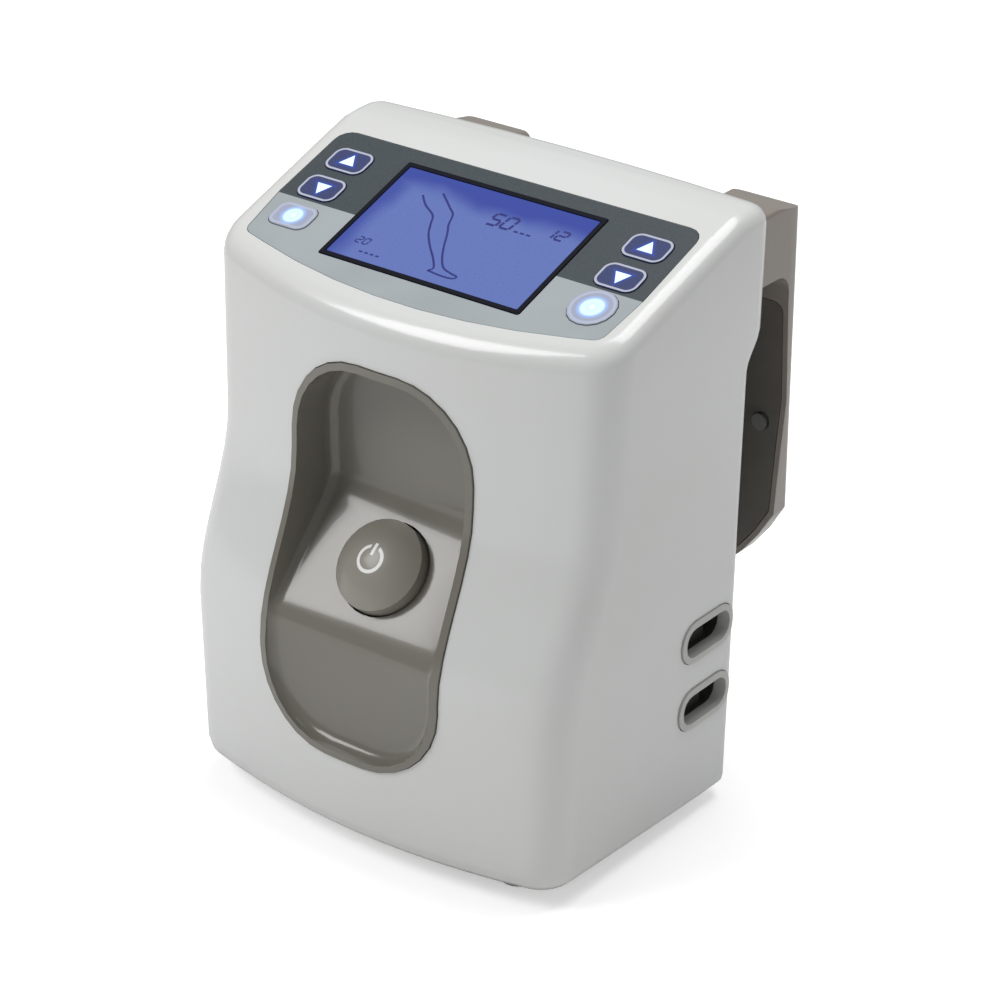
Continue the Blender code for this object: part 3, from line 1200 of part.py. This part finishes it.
def tube(name, corners):
    """Round tube along straight runs with bends at the corners."""
    points = [Vector(corners[0])]
    for before, here, after in zip(corners, corners[1:], corners[2:]):
        here = Vector(here)
        back = (Vector(before) - here).normalized()
        onward = (Vector(after) - here).normalized()
        centre = here + (back + onward) * TUBE_BEND
        for k in range(ARC_STEPS + 1):
            angle = math.pi / 2 * k / ARC_STEPS
            spoke = onward * math.cos(angle) + back * math.sin(angle)
            points.append(centre - spoke * TUBE_BEND)
    points.append(Vector(corners[-1]))
    curve = bpy.data.curves.new(name, "CURVE")
    curve.dimensions = "3D"
    curve.bevel_depth = TUBE_RADIUS
    curve.bevel_resolution = 1
    curve.use_fill_caps = True
    spline = curve.splines.new("POLY")
    spline.points.add(len(points) - 1)
    for target, point in zip(spline.points, points):
        target.co = (*point, 1.0)
    place(bpy.data.objects.new(name, curve), Matrix(), "tube")


def build_shell():
    shell = skin("front_shell", 0.0, "white_plastic")
    smooth(shell)
    boolean(shell, skin("housing_hollow", WALL))
    return shell


def main():
    clear_scene()
    shell = build_shell()
    build_recess(shell)
    build_button()
    build_carrier(shell)
    build_rear_cover(shell)
    build_inside(shell)
    build_panel(shell)
    build_ports(shell)
    build_hook(shell)
    build_feet()


main()
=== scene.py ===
"""Looks of the compression therapy pump: materials, display marks, light, floor and camera."""

import math

import bpy
from mathutils import Matrix, Vector


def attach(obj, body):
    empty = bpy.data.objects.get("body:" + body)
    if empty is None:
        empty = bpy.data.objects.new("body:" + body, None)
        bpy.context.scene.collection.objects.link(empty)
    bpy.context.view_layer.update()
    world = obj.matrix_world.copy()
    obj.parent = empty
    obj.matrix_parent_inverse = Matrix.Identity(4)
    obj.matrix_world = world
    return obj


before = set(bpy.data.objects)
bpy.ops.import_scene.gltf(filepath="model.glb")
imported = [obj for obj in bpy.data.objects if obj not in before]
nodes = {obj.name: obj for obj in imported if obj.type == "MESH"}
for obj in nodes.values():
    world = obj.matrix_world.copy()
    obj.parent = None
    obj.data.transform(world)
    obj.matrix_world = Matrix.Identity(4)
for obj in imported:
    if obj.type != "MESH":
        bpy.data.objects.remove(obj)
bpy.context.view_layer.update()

# Places of the panel and the console, in metres
PANEL_ORIGIN = Vector((0.0, -0.00735, 0.213))
PANEL_TILT = math.radians(19.6)
PANEL_FRAME = Matrix.Translation(PANEL_ORIGIN) @ Matrix.Rotation(PANEL_TILT, 4, "X")
BUTTON_ORIGIN = Vector((0.0, -0.05055, 0.1041))
BUTTON_SLOPE = math.radians(47.0)
BUTTON_FRAME = Matrix.Translation(BUTTON_ORIGIN) @ Matrix.Rotation(BUTTON_SLOPE, 4, "X")
KEY_X = 0.0643
KEY_ROWS = {"up": 0.0184, "down": 0.0024, "glow": -0.01375}
KEY_HALF = (0.0085, 0.006)
KEY_CORNER = 0.004
OVERLAY_SPLIT_Y = -0.0049
SHARP_ANGLE = math.radians(32.0)
WELD_DISTANCE = 0.000002

# Prints on the keys and the button, in metres
PRINT_EDGE = 0.0001
KEY_LINE_INSET = 0.0006
KEY_LINE_HALF = 0.00042
TRIANGLE_SIDE = 0.00165
TRIANGLE_FOOT = -0.0021
TRIANGLE_RUN = 0.86
TRIANGLE_CLIMB = 0.5
TRIANGLE_HALO = 0.0016
GLOW_LINE_INSET = 0.0010
GLOW_EDGE_WIDTH = 0.0045
ROUND_DISC, ROUND_LINE = 0.0043, 0.0005
SQUARE_DISC, SQUARE_LINE = 0.0037, 0.0004
DISC_HALO = 0.0018
DIMPLE_RADIUS = 0.0018
DIMPLE_HALF = 0.0003
POWER_RING_RADIUS = 0.0046
POWER_LINE_HALF = 0.00062
POWER_GAP_HALF = 0.0017
POWER_BAR_CENTRE = 0.0036
POWER_BAR_HALF = 0.0023

# Deep blue bands of the display, on the panel, in metres
DEEP_TOP_Y = (0.0105, 0.0195)
DEEP_LEFT_X = (-0.0410, -0.0315)
CLOUD_SHIFT_Y = 0.012
CLOUD_SHIFT_X = 0.010

# Marks on the display, in millimetres on the panel
LEG_LINE = 0.8
LARGE_LINE = 1.1
MIDDLE_LINE = 0.95
SMALL_LINE = 0.6
DIGIT_SLANT = 0.10
DIGIT_GAP_SHARE = 0.08

# Height of the marks over the panel, in metres
MARKS_HEIGHT = 0.00002

# Stage, in metres, watts and shares
FLOOR_HALF = 6.0
FLOOR_GLOW = 0.42
ROOM_LIGHT = 0.30
LIGHT_TARGET = (0.0, 0.0, 0.12)
LIGHTS = {
    "key_light": ((-0.9, -1.1, 1.5), (0.9, 0.9), 16.0),
    "top_light": ((0.1, 0.5, 1.7), (1.2, 0.9), 15.5),
    "side_fill": ((1.5, -0.2, 0.7), (0.9, 0.9), 0.4),
}
CAMERA_PLACE = (0.6348, -0.7971, 0.6282)
CAMERA_TILT = math.radians(63.06)
CAMERA_TURN = math.radians(38.07)
CAMERA_LENS = 116.75
CAMERA_SENSOR = 36.0
CAMERA_NEAR = 0.01


# Shader maths


class Term:
    """A number socket of a material. Sums and products of terms make the maths nodes."""

    def __init__(self, shade, socket):
        self.shade = shade
        self.socket = socket

    def maths(self, operation, *others):
        node = self.shade.tree.nodes.new("ShaderNodeMath")
        node.operation = operation
        for socket, value in zip(node.inputs, (self, *others)):
            self.shade.feed(socket, value)
        return Term(self.shade, node.outputs[0])

    def __add__(self, other):
        return self.maths("ADD", other)

    def __radd__(self, other):
        return self.maths("ADD", other)

    def __sub__(self, other):
        return self.maths("SUBTRACT", other)

    def __rsub__(self, other):
        return (self * -1.0) + other

    def __mul__(self, other):
        return self.maths("MULTIPLY", other)

    def __rmul__(self, other):
        return self.maths("MULTIPLY", other)

    def __neg__(self):
        return self * -1.0

    def __abs__(self):
        return self.maths("ABSOLUTE")

    def least(self, other):
        return self.maths("MINIMUM", other)

    def most(self, other):
        return self.maths("MAXIMUM", other)

    def hypot(self, other):
        return (self * self + other * other).maths("SQRT")

    def rise(self, low, high):
        """0 below low and 1 above high, with a smooth rise between them."""
        node = self.shade.node("MapRange", {0: self, 1: low, 2: high}, interpolation_type="SMOOTHSTEP")
        return Term(self.shade, node.outputs[0])


class Shade:
    """A material with one Principled shader, built from terms and colours."""

    def __init__(self, name, **uniform):
        self.material = bpy.data.materials.new(name)
        self.material.use_nodes = True
        self.tree = self.material.node_tree
        self.shader = self.tree.nodes["Principled BSDF"]
        for socket, value in uniform.items():
            self.shader.inputs[socket.replace("_", " ")].default_value = value

    def feed(self, socket, value):
        if isinstance(value, Term):
            value = value.socket
        if isinstance(value, bpy.types.NodeSocket):
            self.tree.links.new(value, socket)
        else:
            socket.default_value = value

    def node(self, kind, inputs=None, **settings):
        node = self.tree.nodes.new(f"ShaderNode{kind}")
        for name, value in settings.items():
            setattr(node, name, value)
        for key, value in (inputs or {}).items():
            self.feed(node.inputs[key], value)
        return node

    def place(self):
        """The point on the surface at rest, in metres."""
        return self.node("TexCoord").outputs["Object"]

    def across(self, matrix):
        """The point's X, Y and Z in the frame of a matrix."""
        inverse = matrix.inverted()
        mapping = self.node("Mapping", {"Vector": self.place()})
        mapping.inputs["Location"].default_value = inverse.translation
        mapping.inputs["Rotation"].default_value = inverse.to_euler()
        parts = self.node("SeparateXYZ", {0: mapping.outputs[0]})
        return [Term(self, socket) for socket in parts.outputs]

    def noise(self, scale, detail=3.0, stretch=(1.0, 1.0, 1.0)):
        mapping = self.node("Mapping", {"Vector": self.place()})
        mapping.inputs["Scale"].default_value = stretch
        inputs = {"Vector": mapping.outputs[0], "Scale": scale, "Detail": detail}
        return Term(self, self.node("TexNoise", inputs).outputs[0])

    def mix(self, share, low, high):
        node = self.node("Mix", {0: share}, data_type="RGBA")
        for socket, colour in ((node.inputs[6], low), (node.inputs[7], high)):
            self.feed(socket, (*colour, 1.0) if isinstance(colour, tuple) else colour)
        return node.outputs[2]

    def bump(self, height, strength, distance):
        inputs = {"Height": height, "Strength": strength, "Distance": distance}
        self.feed(self.shader.inputs["Normal"], self.node("Bump", inputs).outputs[0])

    def set(self, **linked):
        for socket, value in linked.items():
            self.feed(self.shader.inputs[socket.replace("_", " ")], value)
        return self.material


def srgb(red, green, blue):
    """Linear colour of an sRGB colour given in 0 to 255."""
    shares = [value / 255.0 for value in (red, green, blue)]
    return tuple(s / 12.92 if s <= 0.04045 else ((s + 0.055) / 1.055) ** 2.4 for s in shares)


def rounded_box(x, y, half_x, half_y, corner):
    """Distance outside a rounded rectangle about the origin. It is negative inside."""
    over_x = abs(x) - (half_x - corner)
    over_y = abs(y) - (half_y - corner)
    return over_x.most(0.0).hypot(over_y.most(0.0)) + over_x.most(over_y).least(0.0) - corner


def stroke(distance, half_width, soft=0.00008):
    """1 within half_width of distance 0."""
    return 1.0 - abs(distance).rise(half_width - soft, half_width + soft)


# Materials


def moulded(name, colour, dirt, roughness=0.22, coat=0.35):
    """Glossy moulded plastic with a faint flow ripple and uneven gloss."""
    shade = Shade(name, IOR=1.49, Coat_Roughness=0.06)
    cloud = shade.noise(9.0, 2.0)
    fine = shade.noise(1400.0, 2.0)
    tone = shade.mix(cloud.rise(0.3, 0.7), colour, dirt)
    ripple = shade.noise(55.0, 1.0)
    shade.bump(ripple + fine * 0.10, 0.06, 0.0004)
    gloss = roughness + (cloud - 0.5) * 0.06
    return shade.set(Base_Color=tone, Roughness=gloss, Coat_Weight=coat + (cloud - 0.5) * 0.1)


def satin(name, colour, dark, roughness=0.42, grain=900.0, metallic=0.0):
    """Satin surface with a fine grain and an uneven tone."""
    shade = Shade(name, IOR=1.5, Metallic=metallic)
    cloud = shade.noise(40.0, 3.0)
    fine = shade.noise(grain, 2.0)
    shade.bump(fine, 0.15, 0.00008)
    tone = shade.mix(cloud.rise(0.25, 0.75), colour, dark)
    return shade.set(Base_Color=tone, Roughness=roughness + (fine - 0.5) * 0.12)


def overlay_film():
    """Panel film: dark behind and light in front, with a fine satin texture."""
    shade = Shade("overlay_film", IOR=1.5)
    _, y, _ = shade.across(PANEL_FRAME)
    fine = shade.noise(2200.0, 2.0)
    cloud = shade.noise(30.0, 2.0)
    dark = shade.mix(fine.rise(0.35, 0.65), srgb(62, 70, 74), srgb(72, 80, 84))
    light = shade.mix(cloud.rise(0.3, 0.7), srgb(160, 168, 171), srgb(168, 176, 179))
    behind = (y - OVERLAY_SPLIT_Y).rise(-0.00015, 0.00015)
    shade.bump(fine, 0.12, 0.00005)
    return shade.set(Base_Color=shade.mix(behind, light, dark), Roughness=0.36 + (fine - 0.5) * 0.1)


def arrow_key(name, centre, upwards):
    """Navy key film with a pale outline and a lit triangle."""
    shade = Shade(name, IOR=1.5, Roughness=0.3, Emission_Strength=0.55)
    x, y, _ = shade.across(PANEL_FRAME)
    x, y = x - centre[0], y - centre[1]
    edge = rounded_box(x, y, KEY_HALF[0], KEY_HALF[1], KEY_CORNER)
    outline = stroke(edge + KEY_LINE_INSET, KEY_LINE_HALF)
    climb = y if upwards else -y
    sides = (abs(x) * TRIANGLE_RUN + climb * TRIANGLE_CLIMB) - TRIANGLE_SIDE
    triangle = sides.most(TRIANGLE_FOOT - climb)
    lit = 1.0 - triangle.rise(-PRINT_EDGE, 0.00012)
    halo = (1.0 - triangle.rise(0.0, TRIANGLE_HALO)) * 0.55
    fine = shade.noise(2600.0, 1.0)
    film = shade.mix(fine.rise(0.3, 0.7), srgb(56, 64, 104), srgb(64, 74, 122))
    glow = shade.mix(halo, film, srgb(52, 70, 175))
    tone = shade.mix(outline, glow, srgb(188, 192, 206))
    tone = shade.mix(lit, tone, srgb(205, 234, 252))
    light = shade.mix(halo, (0.0, 0.0, 0.0), srgb(30, 48, 150))
    light = shade.mix(lit, light, srgb(200, 232, 252))
    return shade.set(Base_Color=tone, Emission_Color=light)


def glow_key(name, centre, is_round):
    """Pale key film with a lit disc in the middle."""
    shade = Shade(name, IOR=1.5, Roughness=0.32, Emission_Strength=0.55)
    x, y, _ = shade.across(PANEL_FRAME)
    x, y = x - centre[0], y - centre[1]
    away = x.hypot(y)
    if is_round:
        edge = away - KEY_HALF[0]
        disc, ring = ROUND_DISC, ROUND_LINE
    else:
        edge = rounded_box(x, y, KEY_HALF[0], KEY_HALF[1], KEY_CORNER)
        disc, ring = SQUARE_DISC, SQUARE_LINE
    outline = stroke(edge + GLOW_LINE_INSET, ring)
    film = shade.mix(edge.rise(-GLOW_EDGE_WIDTH, -0.0002), srgb(160, 166, 200), srgb(168, 176, 186))
    near = 1.0 - away.rise(disc, disc + DISC_HALO)
    core = 1.0 - away.rise(disc - 0.0007, disc + 0.0004)
    centre_dot = 1.0 - away.rise(0.0003, 0.0010)
    dimple = stroke(away - DIMPLE_RADIUS, DIMPLE_HALF) * 0.5
    tone = shade.mix(outline * 0.7, film, srgb(190, 196, 226))
    tone = shade.mix(near * 0.7, tone, srgb(160, 190, 235))
    tone = shade.mix(core, tone, srgb(190, 222, 250))
    tone = shade.mix(centre_dot, tone, (1.0, 1.0, 1.0))
    light = shade.mix(near * 0.6, (0.0, 0.0, 0.0), srgb(110, 150, 225))
    light = shade.mix(core - dimple, light, srgb(188, 222, 250))
    return shade.set(Base_Color=tone, Emission_Color=light)


def display_glass():
    """Lit blue display, deeper along its top and left edges."""
    shade = Shade("display_glass", IOR=1.5, Roughness=0.16, Emission_Strength=0.86)
    x, y, _ = shade.across(PANEL_FRAME)
    cloud = shade.noise(38.0, 2.0) - 0.5
    top = (y + cloud * CLOUD_SHIFT_Y).rise(*DEEP_TOP_Y)
    left = 1.0 - (x + cloud * CLOUD_SHIFT_X).rise(*DEEP_LEFT_X)
    deep = top.most(left * 0.9)
    fine = shade.noise(3000.0, 1.0)
    middle = shade.mix(fine.rise(0.3, 0.7), srgb(100, 119, 186), srgb(108, 128, 192))
    shine = shade.mix(deep, middle, srgb(58, 75, 162))
    return shade.set(Base_Color=shade.mix(0.5, srgb(24, 30, 60), srgb(20, 26, 70)), Emission_Color=shine)


def display_frame():
    """Near black frame with a navy sheen."""
    shade = Shade("display_frame", IOR=1.5, Specular_IOR_Level=0.3)
    fine = shade.noise(1800.0, 2.0)
    shade.bump(fine, 0.1, 0.00005)
    tone = shade.mix(fine.rise(0.3, 0.7), srgb(4, 5, 20), srgb(8, 10, 30))
    return shade.set(Base_Color=tone, Roughness=0.28 + (fine - 0.5) * 0.08)


def button_taupe():
    """Taupe dome with the printed power mark."""
    shade = Shade("button_taupe", IOR=1.49, Coat_Roughness=0.05)
    x, y, z = shade.across(BUTTON_FRAME)
    away = x.hypot(y)
    ring = stroke(away - POWER_RING_RADIUS, POWER_LINE_HALF)
    below = (0.0 - y).rise(-PRINT_EDGE, PRINT_EDGE)
    gap = (abs(x) - POWER_GAP_HALF).rise(-PRINT_EDGE, PRINT_EDGE).most(below)
    bar = (1.0 - abs(x).rise(0.00052, 0.00068)) * stroke(y - POWER_BAR_CENTRE, POWER_BAR_HALF)
    mark = (ring * gap).most(bar) * z.rise(0.004, 0.005)
    cloud = shade.noise(25.0, 2.0)
    ripple = shade.noise(70.0, 1.0)
    shade.bump(ripple, 0.05, 0.0003)
    body = shade.mix(cloud.rise(0.3, 0.7), srgb(150, 146, 137), srgb(144, 140, 131))
    tone = shade.mix(mark, body, srgb(250, 250, 248))
    return shade.set(Base_Color=tone, Roughness=0.3 + (cloud - 0.5) * 0.06, Coat_Weight=0.12 - mark * 0.1)


def display_ink():
    shade = Shade("display_ink", IOR=1.45, Roughness=0.4, Emission_Strength=0.5)
    fine = shade.noise(2500.0, 1.0)
    tone = shade.mix(fine.rise(0.3, 0.7), srgb(30, 34, 96), srgb(38, 42, 106))
    return shade.set(Base_Color=tone, Emission_Color=tone)


def floor_paint():
    """Pale floor that looks white to the camera and still takes the shadow."""
    shade = Shade("floor_paint", Roughness=0.9, IOR=1.2)
    fine = shade.noise(6.0, 2.0)
    tone = shade.mix(fine, (0.88, 0.88, 0.88), (0.90, 0.90, 0.90))
    material = shade.set(Base_Color=tone)
    path = shade.node("LightPath")
    glow = shade.node("Emission", {"Color": (1.0, 1.0, 1.0, 1.0), "Strength": FLOOR_GLOW})
    none = shade.node("Emission", {"Strength": 0.0})
    inputs = {0: path.outputs["Is Camera Ray"], 1: none.outputs[0], 2: glow.outputs[0]}
    seen = shade.node("MixShader", inputs)
    both = shade.node("AddShader", {0: shade.shader.outputs[0], 1: seen.outputs[0]})
    output = shade.tree.nodes["Material Output"]
    shade.feed(output.inputs["Surface"], both.outputs[0])
    return material


# Finish on the CAD pieces


def dress(material, *names):
    for name in names:
        slots = nodes[name].data.materials
        slots.clear()
        slots.append(material)


def soften(name):
    """Shades the round faces smooth and keeps the edges sharp."""
    obj = nodes[name]
    normals = obj.data.attributes.get("custom_normal")
    if normals:
        obj.data.attributes.remove(normals)
    obj.data.shade_smooth()
    weld = obj.modifiers.new("weld", "WELD")
    weld.merge_threshold = WELD_DISTANCE
    split = obj.modifiers.new("sharp_edges", "EDGE_SPLIT")
    split.split_angle = SHARP_ANGLE


def finish_cad():
    white = moulded("white_gloss", srgb(222, 224, 223), srgb(219, 220, 218))
    taupe = moulded("taupe_gloss", srgb(124, 121, 112), srgb(119, 116, 107))
    hook = moulded("hook_taupe", srgb(146, 138, 130), srgb(140, 132, 124), 0.26)
    dress(white, "front_shell", "rear_cover")
    dress(taupe, "recess_liner")
    dress(hook, "hook_shell")
    # Painted shade: the hook liner gets a darker taupe than the hook shell, standing in for the shade on
    # the hook's inner face
    dress(satin("hook_inner_painted_shade", srgb(104, 100, 93), srgb(96, 92, 86)), "hook_liner")
    dress(button_taupe(), "power_button")
    dress(overlay_film(), "control_overlay")
    dress(display_frame(), "lcd_bezel")
    dress(display_glass(), "lcd_window")
    for side, x in (("left", -KEY_X), ("right", KEY_X)):
        dress(arrow_key(f"key_{side}_up_film", (x, KEY_ROWS["up"]), True), f"key_{side}_up")
        dress(arrow_key(f"key_{side}_down_film", (x, KEY_ROWS["down"]), False), f"key_{side}_down")
        is_round = side == "right"
        dress(glow_key(f"key_{side}_glow_film", (x, KEY_ROWS["glow"]), is_round), f"key_{side}_glow")
    rim = satin("port_rim_grey", srgb(196, 196, 193), srgb(188, 188, 185), 0.36)
    black = satin("black_plastic", srgb(34, 34, 33), srgb(28, 28, 27), 0.45)
    dark = satin("dark_plastic", srgb(60, 60, 58), srgb(52, 52, 50), 0.45)
    rubber = satin("foot_rubber", srgb(178, 178, 176), srgb(168, 168, 165), 0.6)
    steel = satin("screw_steel", srgb(170, 170, 168), srgb(150, 150, 148), 0.35, 700.0, 1.0)
    sheet = satin("chassis_sheet", srgb(180, 182, 184), srgb(165, 167, 170), 0.4, 300.0, 1.0)
    board = satin("board_green", srgb(30, 92, 54), srgb(24, 78, 44), 0.45)
    tube = satin("tube_clear", srgb(190, 196, 192), srgb(180, 186, 182), 0.3)
    for level in ("upper", "lower"):
        dress(rim, f"port_bezel_{level}")
        dress(dark, f"port_socket_{level}")
    dress(black, "power_switch", "mains_inlet")
    dress(dark, "hook_carrier", "pump_head", "valve_manifold", "lcd_module")
    dress(board, "main_board", "display_board")
    dress(sheet, "chassis", "power_supply")
    dress(steel, "pump_motor", "valve_left", "valve_right", "hook_screw_left", "hook_screw_right")
    dress(tube, "air_tube_upper", "air_tube_lower", "pump_tube")
    for front in ("front", "rear"):
        for side in ("left", "right"):
            dress(rubber, f"foot_{front}_{side}", f"pump_cushion_{front}_{side}")
    for level in ("upper", "lower"):
        for side in ("left", "right"):
            dress(steel, f"cover_screw_{level}_{side}")
    for name in nodes:
        soften(name)


# Marks on the display, drawn as flat ribbons on its glass


def ribbon(points, width):
    """Corners and faces of a flat ribbon along points on the panel, given in millimetres."""
    count = len(points)
    line = [Vector(point) for point in points]
    corners, faces = [], []
    for k, here in enumerate(line):
        before = line[k - 1] if k else here
        after = line[k + 1] if k < count - 1 else here
        along = (after - before).normalized()
        aside = Vector((-along.y, along.x)) * (width / 2)
        corners += [here + aside, here - aside]
    for k in range(count - 1):
        faces.append((2 * k, 2 * k + 1, 2 * k + 3, 2 * k + 2))
    return corners, faces


def curved(points, steps=6):
    """Smooth line through points."""
    line = [Vector(point) for point in points]
    result = []
    for k in range(len(line) - 1):
        p0 = line[max(k - 1, 0)]
        p1, p2 = line[k], line[k + 1]
        p3 = line[min(k + 2, len(line) - 1)]
        for step in range(steps):
            t = step / steps
            bend = (2 * p0 - 5 * p1 + 4 * p2 - p3) * t * t + (3 * p1 - p0 - 3 * p2 + p3) * t * t * t
            result.append((2 * p1 + (p2 - p0) * t + bend) / 2)
    result.append(line[-1])
    return result


SEGMENTS = {
    "a": ((0, 2), (1, 2)),
    "b": ((1, 2), (1, 1)),
    "c": ((1, 1), (1, 0)),
    "d": ((0, 0), (1, 0)),
    "e": ((0, 1), (0, 0)),
    "f": ((0, 2), (0, 1)),
    "g": ((0, 1), (1, 1)),
}
DIGITS = {"0": "abcdef", "1": "bc", "2": "abged", "5": "afgcd"}


def digit_strokes(digit, x, y, width, height):
    """Short slanted strokes of a seven segment digit."""
    strokes = []
    for letter in DIGITS[digit]:
        start, end = (Vector(point) for point in SEGMENTS[letter])
        inset = (end - start) * DIGIT_GAP_SHARE
        ends = []
        for point in (start + inset, end - inset):
            across = x + point.x * width + point.y * height * DIGIT_SLANT
            ends.append((across, y + point.y * height / 2))
        strokes.append(ends)
    return strokes


def flat_piece(name, ribbons, height, material, body):
    """Thin flat piece of several ribbons, lying at a height over the panel."""
    corners, faces = [], []
    for ribbon_corners, ribbon_faces in ribbons:
        offset = len(corners)
        corners += [PANEL_FRAME @ Vector((x / 1000, y / 1000, height)) for x, y in ribbon_corners]
        faces += [tuple(offset + index for index in face) for face in ribbon_faces]
    mesh = bpy.data.meshes.new(name)
    mesh.from_pydata(corners, [], faces)
    mesh.materials.append(material)
    obj = bpy.data.objects.new(name, mesh)
    bpy.context.scene.collection.objects.link(obj)
    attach(obj, body)
    return obj


def build_display_marks():
    """A plain leg outline, digits and dashes."""
    front = [(-27.0, 13.0), (-22.5, 8.8), (-16.7, 5.2), (-14.3, 0.8), (-11.7, -3.7), (-7.2, -8.8)]
    front += [(-2.2, -13.6), (1.0, -17.6), (-0.2, -19.4)]
    back = [(-20.6, 16.4), (-13.5, 10.9), (-10.1, 8.1), (-8.2, 3.2), (-5.5, -1.2), (-2.6, -6.9)]
    back += [(0.8, -12.4), (4.2, -16.2), (8.0, -17.6), (11.4, -18.4), (10.4, -19.8), (5.2, -20.0)]
    back += [(-0.2, -19.4)]
    marks = [ribbon(curved(front), LEG_LINE), ribbon(curved(back), LEG_LINE)]
    for digit, x in (("5", 3.6), ("0", 9.2)):
        marks += [ribbon(ends, LARGE_LINE) for ends in digit_strokes(digit, x, 8.6, 4.0, 6.0)]
    for digit, x in (("1", 26.2), ("2", 31.0)):
        marks += [ribbon(ends, MIDDLE_LINE) for ends in digit_strokes(digit, x, 10.4, 3.4, 4.6)]
    for x in (15.6, 18.2, 20.8):
        marks.append(ribbon([(x, 8.7), (x + 1.8, 8.7)], 0.9))
    for digit, x in (("2", -34.4), ("0", -31.4)):
        marks += [ribbon(ends, SMALL_LINE) for ends in digit_strokes(digit, x, -16.6, 2.0, 3.0)]
    for k in range(4):
        marks.append(ribbon([(-29.5 + 2.4 * k, -20.2), (-28.0 + 2.4 * k, -20.2)], 0.8))
    flat_piece("display_marks", marks, MARKS_HEIGHT, display_ink(), "housing")


# Light, floor and camera


def area_light(name, place, size, power):
    data = bpy.data.lights.new(name, "AREA")
    data.shape = "RECTANGLE"
    data.size, data.size_y = size
    data.energy = power
    obj = bpy.data.objects.new(name, data)
    obj.location = place
    obj.rotation_euler = (Vector(place) - Vector(LIGHT_TARGET)).to_track_quat("Z", "Y").to_euler()
    bpy.context.scene.collection.objects.link(obj)


def build_stage():
    mesh = bpy.data.meshes.new("floor")
    corners = [(x * FLOOR_HALF, y * FLOOR_HALF, 0) for x, y in ((-1, -1), (1, -1), (1, 1), (-1, 1))]
    mesh.from_pydata(corners, [], [(0, 1, 2, 3)])
    mesh.materials.append(floor_paint())
    floor = bpy.data.objects.new("floor", mesh)
    bpy.context.scene.collection.objects.link(floor)

    world = bpy.data.worlds.new("studio")
    bpy.context.scene.world = world
    world.use_nodes = True
    tree = world.node_tree
    room = tree.nodes["Background"]
    room.inputs["Color"].default_value = (1.0, 1.0, 1.0, 1.0)
    room.inputs["Strength"].default_value = ROOM_LIGHT
    seen = tree.nodes.new("ShaderNodeBackground")
    seen.inputs["Strength"].default_value = 1.0
    seen.inputs["Color"].default_value = (1.0, 1.0, 1.0, 1.0)
    path = tree.nodes.new("ShaderNodeLightPath")
    mixer = tree.nodes.new("ShaderNodeMixShader")
    tree.links.new(path.outputs["Is Camera Ray"], mixer.inputs[0])
    tree.links.new(room.outputs[0], mixer.inputs[1])
    tree.links.new(seen.outputs[0], mixer.inputs[2])
    tree.links.new(mixer.outputs[0], tree.nodes["World Output"].inputs[0])

    for name, (place, size, power) in LIGHTS.items():
        area_light(name, place, size, power)


def build_camera():
    data = bpy.data.cameras.new("camera")
    data.lens = CAMERA_LENS
    data.sensor_width = CAMERA_SENSOR
    data.clip_start = CAMERA_NEAR
    camera = bpy.data.objects.new("camera", data)
    camera.location = CAMERA_PLACE
    camera.rotation_euler = (CAMERA_TILT, 0.0, CAMERA_TURN)
    bpy.context.scene.collection.objects.link(camera)
    bpy.context.scene.camera = camera
    bpy.context.scene.view_settings.view_transform = "Standard"


finish_cad()
build_display_marks()
build_stage()
build_camera()
